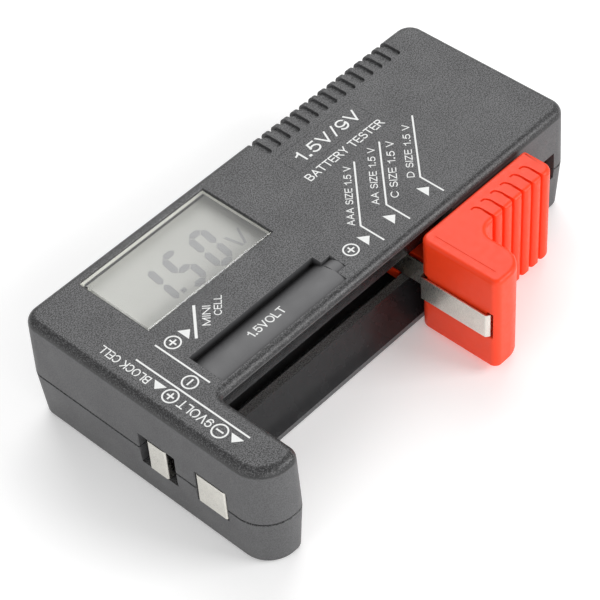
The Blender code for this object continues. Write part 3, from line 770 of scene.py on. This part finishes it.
def build_lower_case(materials):
    outline = case_outline()
    high = PARTING - GAP / 2
    levels = fillet_levels(0, BASE_FILLET, BASE_DRAFT, 8, -1)[::-1]
    levels += [(high - SEAM_CHAMFER, side_inset(PARTING)),
               (high, side_inset(PARTING) + SEAM_CHAMFER)]
    shell = stack("lower_case", outline, levels)
    cut(shell, channel_cutter())
    room = stack("room", outline, [(WALL, side_inset(WALL) + WALL),
                                         (PARTING + 1, side_inset(PARTING) + WALL)])
    cut(room, wall_keeper())
    cut(shell, room, side_openings())
    bosses = columns(SCREW_SPOTS, BASE_BOSS_RADIUS, span(WALL / 2, PARTING - 0.4))
    join(shell, stacks("bosses", *bosses))
    cut(shell, stacks("clear", *columns(SCREW_SPOTS, CLEAR_RADIUS, span(-1, PARTING + 1), 32)))
    wells = columns(SCREW_SPOTS, HEAD_HOLE_RADIUS, flared(HEAD_SEAT + GAP, 0.0, 0.25))
    cut(shell, stacks("wells", *wells))
    join(shell, block("guide_wall", GUIDE_WALL, GUIDE_LOW, GUIDE_TOP))
    cut(shell, block("lead_notch", LEAD_NOTCH, 10.6, GUIDE_TOP + 1))
    # The channel's wall gets the polished material, whose near-black colour is painted shade
    paint(shell, 1, is_polished_and_shaded)
    finish_piece(shell, materials, ("bottom_shell",))


# ---- slider

def slider_outline():
    return rounded_outline((
        (SLIDER_NEAR, SLIDER_BACK, 2.2, 12),
        (SLIDER_NEAR, SLIDER_FRONT, 1.6, 10),
        (CLAMP_FAR, SLIDER_FRONT, 5.0, 20),
        (CLAMP_FAR, THUMB_FACE, 3.0, 12),
        (SLIDER_FAR, THUMB_FACE, 2.4, 12),
        (SLIDER_FAR, SLIDER_BACK, 0.8, 6),
    ))


def thumb_grooves():
    """Narrow grooves between round-backed ribs, whose tops hook over the upper face."""
    radius, lead = 2.6, 0.28
    deep = THUMB_FACE - RIB_DEPTH
    inner = deep - radius - 1.2
    curl = arc((deep - radius, SLIDER_HIGH - lead - radius), radius, 90, 0, 12)
    outline = vectors((inner - 1, SLIDER_HIGH - lead), *curl, (deep, SLIDER_LOW - 1),
                      (THUMB_FACE + 2, SLIDER_LOW - 1), (THUMB_FACE + 2, SLIDER_HIGH + 1),
                      (inner - 1, SLIDER_HIGH + 1))
    end = RIB_FIRST + RIB_PITCH * RIB_COUNT
    tool = stack("thumb_grooves", outline, span(RIB_FIRST - RIB_PITCH, end), "along")
    half = RIB_GROOVE * 0.3
    shoulder = RIB_PITCH / 2 - half - 0.1
    solids = []
    for number in range(RIB_COUNT):
        along = RIB_FIRST + RIB_PITCH * number
        right = bow(along + half + shoulder, deep, shoulder, RIB_DEPTH, 180, 90, 8)
        left = [(2 * along - x, y) for x, y in reversed(right)]
        bend = along - half - 0.5
        hook = bow(bend, inner + 0.9, 0.5, 0.9, 0, -90, 6)
        hook += [(along - half - 1.1, inner), (along - half - 1.1, inner - 0.45)]
        hook += bow(bend, inner + 1.3, 2 * half + 0.5, 1.75, -90, 0, 8)
        top = [(right[-1][0], THUMB_FACE + 3), (left[0][0], THUMB_FACE + 3)]
        shape = vectors(*left, *hook, *right, *top)
        solids.append((shape, span(SLIDER_LOW - 2, SLIDER_HIGH + 2)))
    return boolean(tool, "INTERSECT", stacks("rib_shapes", *solids))


def build_slider(material):
    low, high = STRIP_HEIGHT
    levels = fillet_levels(SLIDER_LOW, 0.5, 0.0, 4, -1)[::-1]
    levels += fillet_levels(SLIDER_HIGH, SLIDER_FILLET, 0.0, 8, 1)
    slider = stack("slider_body", slider_outline(), levels)
    cut(slider, thumb_grooves())
    line = bar_outline((SLIDER_NEAR + 2.2, 45.2), (SLIDER_NEAR + 2.2, 59.6), 0.5)
    cut(slider, stack("clamp_line", line, flared(SLIDER_HIGH - 0.1, SLIDER_HIGH, 0.08)))
    neck = (*NECK, HEAD_ACROSS[1] - 0.5, SLIDER_BACK + 1)
    hook = (NECK[1] - 3.0, NECK[1], *HEAD_ACROSS)
    join(slider, block("neck", neck, SLOT_LOW + 0.4, SLOT_HIGH - 0.4),
         block("head", (*NECK, *HEAD_ACROSS), *HEAD_HEIGHT),
         block("spring_tab", hook, HEAD_HEIGHT[1] - 1, SPRING_HEIGHT + 1.5))
    eye = circle(NECK[1] - 1.6, SPRING_HEIGHT, 0.6, 20)
    slim = (low - GAP, high + GAP)
    pocket = rectangle(*TIP_POCKET, *slim)
    room = (NECK[0] - 1, NECK[0] + 1.4, HEAD_ACROSS[0] - 1, SLIDER_BACK + 1)
    entry = (SLIDER_NEAR - 1, NECK[0] + 1.4, SLIDER_BACK - 1, SLIDER_BACK + 2.2)
    cut(slider,
        stack("spring_eye", eye, span(HEAD_ACROSS[0] - 1, HEAD_ACROSS[1] + 1), "across"),
        stack("tip_pocket", pocket, flared(SLIDER_NEAR + 3.4, SLIDER_NEAR, 0.2), "along"),
        block("strip_pass", room, *slim), block("strip_entry", entry, *slim))
    finish_piece(slider, [material], ("slider",), "slider")


def softened(low, high, edge):
    """Levels of a plate with its upper and lower edges broken."""
    return [(low, edge), (low + edge, 0.0), (high - edge, 0.0), (high, edge)]


def bent_strip(name, stops, heights, radius):
    """A stamped metal strip with rounded bends and broken edges."""
    line = strip_outline(bent_line(stops, radius), STRIP)
    return stack(name, line, softened(*heights, STRIP_EDGE))


def build_contacts(nickel):
    face = SLIDER_NEAR - GAP - STRIP / 2
    strip = bent_strip("slider_strip", [
        (SLIDER_NEAR + 2.9, 60.3), (SLIDER_NEAR + 0.2, 60.3), (face, 59.8), (face, 44.0),
        (SLIDER_NEAR + 0.4, 43.85), (NECK[0] + 0.4, 43.85), (NECK[0] + 0.4, HEAD_ACROSS[0] - 0.3),
    ], STRIP_HEIGHT, 0.3)
    finish_piece(strip, [nickel], ("slider_contact",), "slider")
    face = END_BLOCK + GAP + STRIP / 2
    inside = END_BLOCK - WALL - 1.2
    fixed = bent_strip("cell_contact", [(face, 56.4), (face, 45.2), (inside, 45.2),
                                        (inside, 40.5)], CONTACT_HEIGHT, 0.35)
    finish_piece(fixed, [nickel], ("fixed_cell_contact",))
    inner = WALL + 2.1
    for name, node, (low, high, bottom, top) in (
        ("plate_plus", "nine_volt_positive", PLATE_POSITIVE),
        ("plate_minus", "nine_volt_negative", PLATE_NEGATIVE),
    ):
        plate = bent_strip(name, [(inner, low + 0.2), (0.25, low + 0.2), (0.25, high - 0.2),
                                  (inner, high - 0.2)], (bottom, top), 0.3)
        finish_piece(plate, [nickel], (node,))


# ---- display

LCD_TOP = box_mm("lcd_panel")[2][1]
DIGIT_BASE, DIGIT_HEIGHT, DIGIT_WIDTH, DIGIT_PITCH = 19.4, 11.1, 4.8, 7.05
FIRST_DIGIT = 19.5
SLANT = tan(radians(7))
STROKE, DOT = 1.55, 1.1
SEGMENTS = {"1": "bc", "5": "afgcd", "0": "abcdef"}


def segment_shapes():
    """Outlines of the seven segments in a digit's own frame, width by height."""
    half, split = STROKE / 2, 0.12

    low, middle, high = half, DIGIT_HEIGHT / 2, DIGIT_HEIGHT - half
    left, right = half, DIGIT_WIDTH - half
    ends = {
        "a": (left, high, right, high), "b": (right, middle, right, high),
        "c": (right, low, right, middle), "d": (left, low, right, low),
        "e": (left, low, left, middle), "f": (left, middle, left, high),
        "g": (left, middle, right, middle),
    }
    shapes = {}
    for name, spots in ends.items():
        start, end = vectors(spots[:2], spots[2:])
        way = (end - start).normalized()
        side = left_of(way) * half
        first, last = start + way * split, end - way * split
        shapes[name] = [first, first + way * half + side, last - way * half + side, last,
                        last - way * half - side, first + way * half - side]
    return shapes


def build_digits(material):
    """The reading on the display, as thin dark segments on its glass."""
    shapes = segment_shapes()
    solids = []
    levels = span(LCD_TOP + 0.01, LCD_TOP + 0.03)

    def put(outline, start):
        placed = [Vector((start + p.x + p.y * SLANT, DIGIT_BASE - p.y)) for p in outline]
        solids.append((placed, levels))

    for place, digit in enumerate("150"):
        for segment in SEGMENTS[digit]:
            put(shapes[segment], FIRST_DIGIT + DIGIT_PITCH * place)
    dot = FIRST_DIGIT + DIGIT_WIDTH + (DIGIT_PITCH - DIGIT_WIDTH) / 2 - DOT / 2
    put(rectangle(0.0, DOT, DOT, 2 * DOT), dot)
    foot = FIRST_DIGIT + DIGIT_PITCH * 3 + 0.7
    for lean in (-1, 1):
        edge, top = foot + lean * 0.02, foot + lean * 1.4
        stroke = [(edge, 1.3), (edge + lean * 0.6, 1.3), (top + lean * 0.6, 5.3), (top, 5.3)]
        put(vectors(*stroke[::lean]), 0.0)
    digits = stacks("lcd_digits", *solids)
    finish_piece(digits, [material])


def build_display(finishes):
    (flange_x, flange_y, (pane_low, _)) = box_mm("display_window")
    flange_top = TOP - WALL - GAP
    pane = block("window_pane", (*flange_x, *flange_y), pane_low, flange_top)
    clear = inset_outline(rectangle(*WINDOW), 0.12)
    rise = [(flange_top - 0.5, 0.0), (TOP - 0.35, 0.0), (TOP - 0.1, 0.25)]
    join(pane, stack("pane", clear, rise))
    middle = (pane_low + TOP) / 2
    paint(pane, 1, lambda spot, normal: abs(normal.z) < 0.3 and spot[2] > middle - 1.2)
    finish_piece(pane, [finishes["acrylic"], finishes["pane_edge"]],
                 ("display_window",))
    pane.visible_shadow = False
    panel_x, panel_y, panel_z = box_mm("lcd_panel")
    panel = stack("lcd_plate", rectangle(*panel_x, *panel_y), softened(*panel_z, 0.1))
    finish_piece(panel, [finishes["lcd"]], ("lcd_panel",))
    build_digits(finishes["segment"])


# ---- printed marks

LINE = 0.36
RING_RADIUS, RING_WIDTH = 1.65, 0.32
SIGN_REACH, SIGN_HALF = 0.86, 0.17
LEADER_BEND, LEADER_FOOT, LEADER_SLOPE = 33.2, 39.1, (12.35, -12.7)
READ_ALONG = ((1, 0), (0, -1))
READ_SLOPE = ((0.7071, -0.7071), (-0.7071, -0.7071))
READ_BACK = ((0, -1), (-1, 0))


def bar_outline(start, end, width):
    start, end = vectors(start, end)
    side = left_of((end - start).normalized()) * width / 2
    return [start + side, end + side, end - side, start - side]


def flat_marks(name, shapes):
    """Thin printed shapes lying on the top, each outline (along, across)."""
    return stacks(name, *[(shape, span(TOP - 0.01, HEIGHT)) for shape in shapes])


# Each letter is its width and its strokes, one unit high from its baseline
STEM = [(0, 0), (0, 1)]
UPPER_BOWL = [(0, 1), *bow(0.36, 0.76, 0.24, 0.24, 90, -90), (0, 0.52)]
LOWER_BOWL = [(0, 0.52), *bow(0.38, 0.26, 0.26, 0.26, 90, -90), (0, 0)]
LETTERS = {
    "A": (0.74, [[(0, 0), (0.37, 1)], [(0.37, 1), (0.74, 0)], [(0.14, 0.34), (0.6, 0.34)]]),
    "B": (0.64, [STEM, UPPER_BOWL, LOWER_BOWL]),
    "C": (0.72, [bow(0.4, 0.5, 0.4, 0.5, 42, 318, 20)]),
    "D": (0.70, [STEM, [(0, 1), *bow(0.24, 0.5, 0.46, 0.5, 90, -90, 16), (0, 0)]]),
    "E": (0.58, [STEM, [(0, 1), (0.58, 1)], [(0, 0.52), (0.52, 0.52)], [(0, 0), (0.58, 0)]]),
    "I": (0.0, [STEM]),
    "K": (0.64, [STEM, [(0, 0.34), (0.6, 1)], [(0.2, 0.56), (0.64, 0)]]),
    "L": (0.52, [STEM, [(0, 0), (0.52, 0)]]),
    "M": (0.78, [STEM, [(0, 1), (0.39, 0)], [(0.39, 0), (0.78, 1)], [(0.78, 0), (0.78, 1)]]),
    "N": (0.66, [STEM, [(0, 1), (0.66, 0)], [(0.66, 0), (0.66, 1)]]),
    "O": (0.82, [bow(0.41, 0.5, 0.41, 0.5, 90, 449, 32)]),
    "R": (0.66, [STEM, UPPER_BOWL, [(0.3, 0.52), (0.66, 0)]]),
    "S": (0.62, [[*bow(0.31, 0.755, 0.27, 0.245, 30, 250, 16)[:-1],
                  *bow(0.31, 0.265, 0.31, 0.265, 80, -155, 18)]]),
    "T": (0.66, [[(0, 1), (0.66, 1)], [(0.33, 0), (0.33, 1)]]),
    "V": (0.70, [[(0, 1), (0.35, 0)], [(0.35, 0), (0.7, 1)]]),
    "Y": (0.68, [[(0, 1), (0.34, 0.46)], [(0.34, 0.46), (0.68, 1)], [(0.34, 0), (0.34, 0.46)]]),
    "Z": (0.60, [[(0, 1), (0.58, 1)], [(0.58, 1), (0, 0)], [(0, 0), (0.6, 0)]]),
    "1": (0.30, [[(0, 0.74), *bow(-0.02, 1.02, 0.3, 0.26, -60, -6, 4)], [(0.28, 0), (0.28, 1)]]),
    "5": (0.58, [[(0.53, 1), (0.12, 1)], [(0.12, 1), (0.04, 0.5)],
                 bow(0.27, 0.32, 0.31, 0.32, 140, -150, 18)]),
    "9": (0.58, [bow(0.29, 0.68, 0.29, 0.32, 0, 359, 24),
                 [(0.58, 0.68), *bow(0.28, 0.4, 0.3, 0.4, 0, -145, 12)]]),
    ".": (0.2, [[(0.05, 0), (0.13, 0)], [(0.05, 0.06), (0.13, 0.06)]]),
    "/": (0.34, [[(0, 0), (0.34, 1)]]),
    " ": (0.22, []),
}
LETTER_GAP, PEN = 0.24, 0.13


def add_stroke(bm, points, width, low, high):
    """A stroke of the pen as one closed band, with ends that run on by half its width."""
    points = vectors(*points)
    start = points[0] + (points[0] - points[1]).normalized() * width / 2
    end = points[-1] + (points[-1] - points[-2]).normalized() * width / 2
    line = [start, *points[1:-1], end]
    edges = strip_outline(line, width)
    left, right = edges[:len(line)], edges[len(line):][::-1]
    place = PLACE["up"]
    skin(bm, [[bm.verts.new(place(p.x, p.y, w)) for p, w in
               ((one, low), (other, low), (other, high), (one, high))]
              for one, other in zip(left, right)])


def add_text(body, start, length, rise, directions, base=TOP):
    """Printed lettering from a start on its baseline, of a length and letter height."""
    total = sum(LETTERS[letter][0] + LETTER_GAP for letter in body) - LETTER_GAP
    tall = rise * (1 - PEN)
    stretch = (length - rise * PEN) / (total * tall)
    reading, rising = Vector(directions[0]), Vector(directions[1])
    corner = Vector(start) + (reading + rising) * rise * PEN / 2
    bm = bmesh.new()
    at, count = 0.0, 0
    for letter in body:
        width, strokes = LETTERS[letter]
        for stroke in strokes:
            pen_path = [corner + reading * (at + x) * stretch * tall + rising * y * tall
                        for x, y in stroke]
            sink = 0.002 * (count % 3)
            add_stroke(bm, pen_path, rise * PEN, base - 0.01, base + PRINT - sink)
            count += 1
        at += width + LETTER_GAP
    return new_object("text", bm)


def gather(name, *pieces):
    """Put the meshes of several objects into one."""
    bm = bmesh.new()
    for piece in pieces:
        bm.from_mesh(piece.data)
        bpy.data.objects.remove(piece, do_unlink=True)
    return new_object(name, bm)


def ringed_sign(along, across, lengthwise=True, crosswise=True):
    """A plus in a ring of four parts, or a minus when one of its strokes is left out."""
    shapes = []
    for first in range(0, 360, 90):
        last = first + 89.6
        outer = arc((along, across), RING_RADIUS, first, last, 12)
        shapes.append(outer + arc((along, across), RING_RADIUS - RING_WIDTH, last, first, 12))
    parts = [(-SIGN_REACH, SIGN_REACH)]
    if lengthwise:
        shapes.append(rectangle(along - SIGN_REACH, along + SIGN_REACH,
                                across - SIGN_HALF, across + SIGN_HALF))
        parts = [(-SIGN_REACH, -SIGN_HALF - 0.001), (SIGN_HALF + 0.001, SIGN_REACH)]
    if crosswise:
        shapes += [rectangle(along - SIGN_HALF, along + SIGN_HALF, across + low, across + high)
                   for low, high in parts]
    return shapes


def arrow(tip, base, across, half=1.58):
    """A solid triangle from a base line at one along to a tip at another."""
    return vectors((base, across - half), (tip, across), (base, across + half))


def leader(bend):
    """A cell-size line: a leg to the channel side and a sloping leg."""
    slope_end = (bend + LEADER_SLOPE[0], LEADER_BEND + LEADER_SLOPE[1])
    centre = [(bend, LEADER_FOOT), (bend, LEADER_BEND), slope_end]
    return strip_outline(centre, LINE)


def print_group(ink, name, shapes, *texts):
    """Flat shapes and lines of lettering as one printed piece."""
    pieces = [add_text(*text) for text in texts]
    if shapes:
        pieces.insert(0, flat_marks("shapes", shapes))
    finish_piece(gather(name, *pieces), [ink])


def build_marks(ink):
    shapes = [leader(bend) for bend in (57.6, 64.95, 74.8)]
    shapes += [arrow(tip, tip - 1.92, 36.25) for tip in (56.7, 64.0, 73.8)]
    print_group(
        ink, "marks_cell_sizes", shapes + ringed_sign(51.7, 36.05),
        ("AAA SIZE 1.5 V", (57.0, 32.35), 16.3, 1.5, READ_SLOPE),
        ("AA SIZE 1.5 V", (64.2, 32.15), 15.9, 1.5, READ_SLOPE),
        ("C SIZE 1.5 V", (68.0, 33.75), 15.9, 1.6, READ_SLOPE),
        ("D SIZE 1.5 V", (74.1, 32.4), 15.0, 1.5, READ_SLOPE),
    )
    shapes = [bar_outline((6.64, 24.8), (6.64, 53.0), LINE),
              bar_outline((11.28, 24.95), (11.28, 38.8), LINE)]
    shapes += [arrow(3.85, 5.5, across, 1.5) for across in (32.3, 51.25)]
    shapes += ringed_sign(4.5, 35.7) + ringed_sign(4.4, 47.94, lengthwise=False)
    print_group(
        ink, "marks_nine_volt", shapes + ringed_sign(9.06, 36.05, crosswise=False),
        ("9VOLT", (5.5, 45.9), 8.0, 2.0, READ_BACK),
        ("BLOCK CELL", (5.4, 30.3), 12.5, 1.8, READ_BACK),
    )
    shapes = [bar_outline((17.25, 29.55), (22.75, 23.4), 0.55), arrow(18.15, 16.3, 27.1, 1.5)]
    print_group(
        ink, "marks_mini_cell", shapes + ringed_sign(13.83, 26.96),
        ("MINI", (21.25, 29.25), 4.9, 1.55, READ_SLOPE),
        ("CELL", (24.4, 29.05), 4.95, 1.5, READ_SLOPE),
    )
    print_group(
        ink, "marks_title", [],
        ("1.5V/9V", (63.56, 13.1), 17.3, 3.05, READ_ALONG),
        ("BATTERY TESTER", (60.55, 17.85), 21.6, 2.0, READ_ALONG),
    )
    relief = add_text("1.5VOLT", (23.9, 37.35), 9.0, 2.0, READ_ALONG, base=0.0)
    wrap_on_relief(relief)
    finish_piece(gather("marks_relief", relief), [ink])


def wrap_on_relief(piece):
    """Lay lettering made at height 0 on the relief's rounded back."""
    bm = bmesh.new()
    bm.from_mesh(piece.data)
    for step in range(-12, 6):
        bmesh.ops.bisect_plane(bm, geom=bm.verts[:] + bm.edges[:] + bm.faces[:],
                               plane_co=world(0, RELIEF_CREST + step * 0.2, 0),
                               plane_no=(0, 1, 0))
    for vert in bm.verts:
        off = (WIDTH / 2 - vert.co.y) - RELIEF_CREST
        back = sqrt(RELIEF_RADIUS ** 2 - off ** 2)
        vert.co.z += TOP - RELIEF_SINK - RELIEF_RADIUS + back
    bm.to_mesh(piece.data)
    bm.free()


# ---- screws and spring

def build_screws(steel):
    """Pan heads with a tapered cross recess, sunk in the base's wells."""
    for number, (along, across) in enumerate(SCREW_SPOTS, 1):
        face = HEAD_SEAT - HEAD_THICKNESS
        levels = [(face, 0.7), (face + 0.12, 0.3), (face + 0.35, 0.06), (face + 0.6, 0.0),
                  (HEAD_SEAT, 0.0)]
        screw = stack(f"base_screw_{number}", circle(along, across, HEAD_RADIUS), levels)
        join(screw, stack("shank", circle(along, across, SHANK_RADIUS, 24), span(HEAD_SEAT - 0.5, 20.0)))
        for width, length in ((1.3, 0.28), (0.28, 1.3)):
            slot = rectangle(along - width, along + width, across - length, across + length)
            cut(screw, stack("recess", slot, [(face - 0.5, -0.1), (face + 0.9, 0.12)]))
        finish_piece(screw, [steel], (f"case_screw_{number}",))


def build_spring(material):
    """The return spring, which stretches between the case's post and the slider."""
    start, end = ANCHOR_ALONG + 3.2, NECK[1] - 5.2
    turn_steps = 16
    points = [(ANCHOR_ALONG + 1.8, SPRING_ACROSS, SPRING_HEIGHT)]
    count = SPRING_TURNS * turn_steps
    for k in range(count + 1):
        angle = 2 * pi * k / turn_steps
        points.append((start + (end - start) * k / count,
                       SPRING_ACROSS + SPRING_RADIUS * sin(angle),
                       SPRING_HEIGHT + SPRING_RADIUS * cos(angle)))
    points.append((NECK[1] - 3.5, SPRING_ACROSS, SPRING_HEIGHT))
    spring = tube("spring_coil", points, WIRE_RADIUS, 8)
    mesh = spring.data
    mesh.transform(Matrix.Scale(MM, 4))
    mesh.materials.append(material)
    mesh.shade_smooth()
    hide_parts("return_spring")
    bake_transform(spring)


# ---- stage

FLOOR_GAP = 0.0001


def build_floor():
    bm = bmesh.new()
    bmesh.ops.create_grid(bm, x_segments=2, y_segments=2, size=2.0)
    floor = new_object("floor", bm)
    floor.location.z = -FLOOR_GAP
    floor.data.materials.append(
        mottled("floor_pale", (0.95, 0.95, 0.95), 0.7, 40.0, 0.0, 0.01,
                Emission_Color=(1, 1, 1, 1), Emission_Strength=0.22))


def area_light(name, spot, aim, size, power):
    light = bpy.data.lights.new(name, "AREA")
    light.shape = "RECTANGLE"
    light.size, light.size_y = size
    light.energy = power
    made = place_object(name, light)
    made.location = spot
    made.rotation_euler = (Vector(aim) - Vector(spot)).to_track_quat("-Z", "Y").to_euler()
    made.visible_transmission = False


def build_lights():
    area_light("back_softbox", (0.48, 0.50, 0.73), (0, 0, 0), (0.8, 0.8), 4.8)
    area_light("left_front_fill", (-0.60, 0.03, 0.24), (0, 0, 0.01), (0.5, 0.35), 0.7)
    area_light("right_back_fill", (0.45, -0.70, 0.55), (0, 0, 0.01), (0.5, 0.3), 4.2)
    area_light("right_front_fill", (-0.35, -0.90, 0.25), (0, 0, 0.01), (0.8, 0.4), 3.0)
    sky = bpy.data.worlds.new("studio")
    sky.use_nodes = True
    set_inputs(sky.node_tree.nodes["Background"], Color=(1.0, 1.0, 1.0, 1), Strength=0.42)
    sky.cycles_visibility.transmission = False
    bpy.context.scene.world = sky
    bpy.context.scene.view_settings.view_transform = "Standard"


CAMERA_SPOT = (-0.2081, -0.2034, 0.3142)
CAMERA_BACK = (-0.4771, -0.4960, 0.7255)
CAMERA_ROLL = -4.62
CAMERA_LENS = 130.8


def build_camera():
    camera = bpy.data.cameras.new("camera")
    camera.lens = CAMERA_LENS
    camera.sensor_width = 36.0
    camera.clip_start = 0.01
    made = place_object("camera", camera)
    back = Vector(CAMERA_BACK).normalized()
    right = Vector((0, 0, 1)).cross(back).normalized()
    up = back.cross(right)
    roll = radians(CAMERA_ROLL)
    turned = right * cos(roll) + up * sin(roll)
    frame_axes = Matrix((turned, back.cross(turned), back)).transposed().to_4x4()
    made.matrix_world = Matrix.Translation(CAMERA_SPOT) @ frame_axes
    bpy.context.scene.camera = made


def main():
    finishes = {
        "steel": brushed_metal("screw_steel_fine", (0.46, 0.46, 0.47), 0.25, 0.45, (1, 1, 1)),
        "nickel": brushed_metal("contact_nickel_fine", (0.80, 0.78, 0.72), 0.2, 0.38),
        "acrylic": pane_acrylic(),
        "pane_edge": mottled("pane_edge_frosted", (0.62, 0.62, 0.56), 0.35, 1.0, 0.01, 0.08),
        "lcd": lcd_backing(),
        "segment": mottled("lcd_segment", (0.265, 0.265, 0.27), 0.4, 0.4, 0.001, 0.04),
    }
    case = [grained_plastic(), smooth_shaded_plastic(), satin_shaded_plastic()]
    build_upper_case(case)
    build_lower_case(case[:2])
    build_slider(red_plastic())
    build_contacts(finishes["nickel"])
    build_display(finishes)
    build_marks(print_ink())
    build_screws(finishes["steel"])
    build_spring(brushed_metal("spring_steel_fine", (0.55, 0.55, 0.56), 0.2, 0.35, (1, 1, 1)))
    dress_frame(finishes)
    build_floor()
    build_lights()
    build_camera()


main()
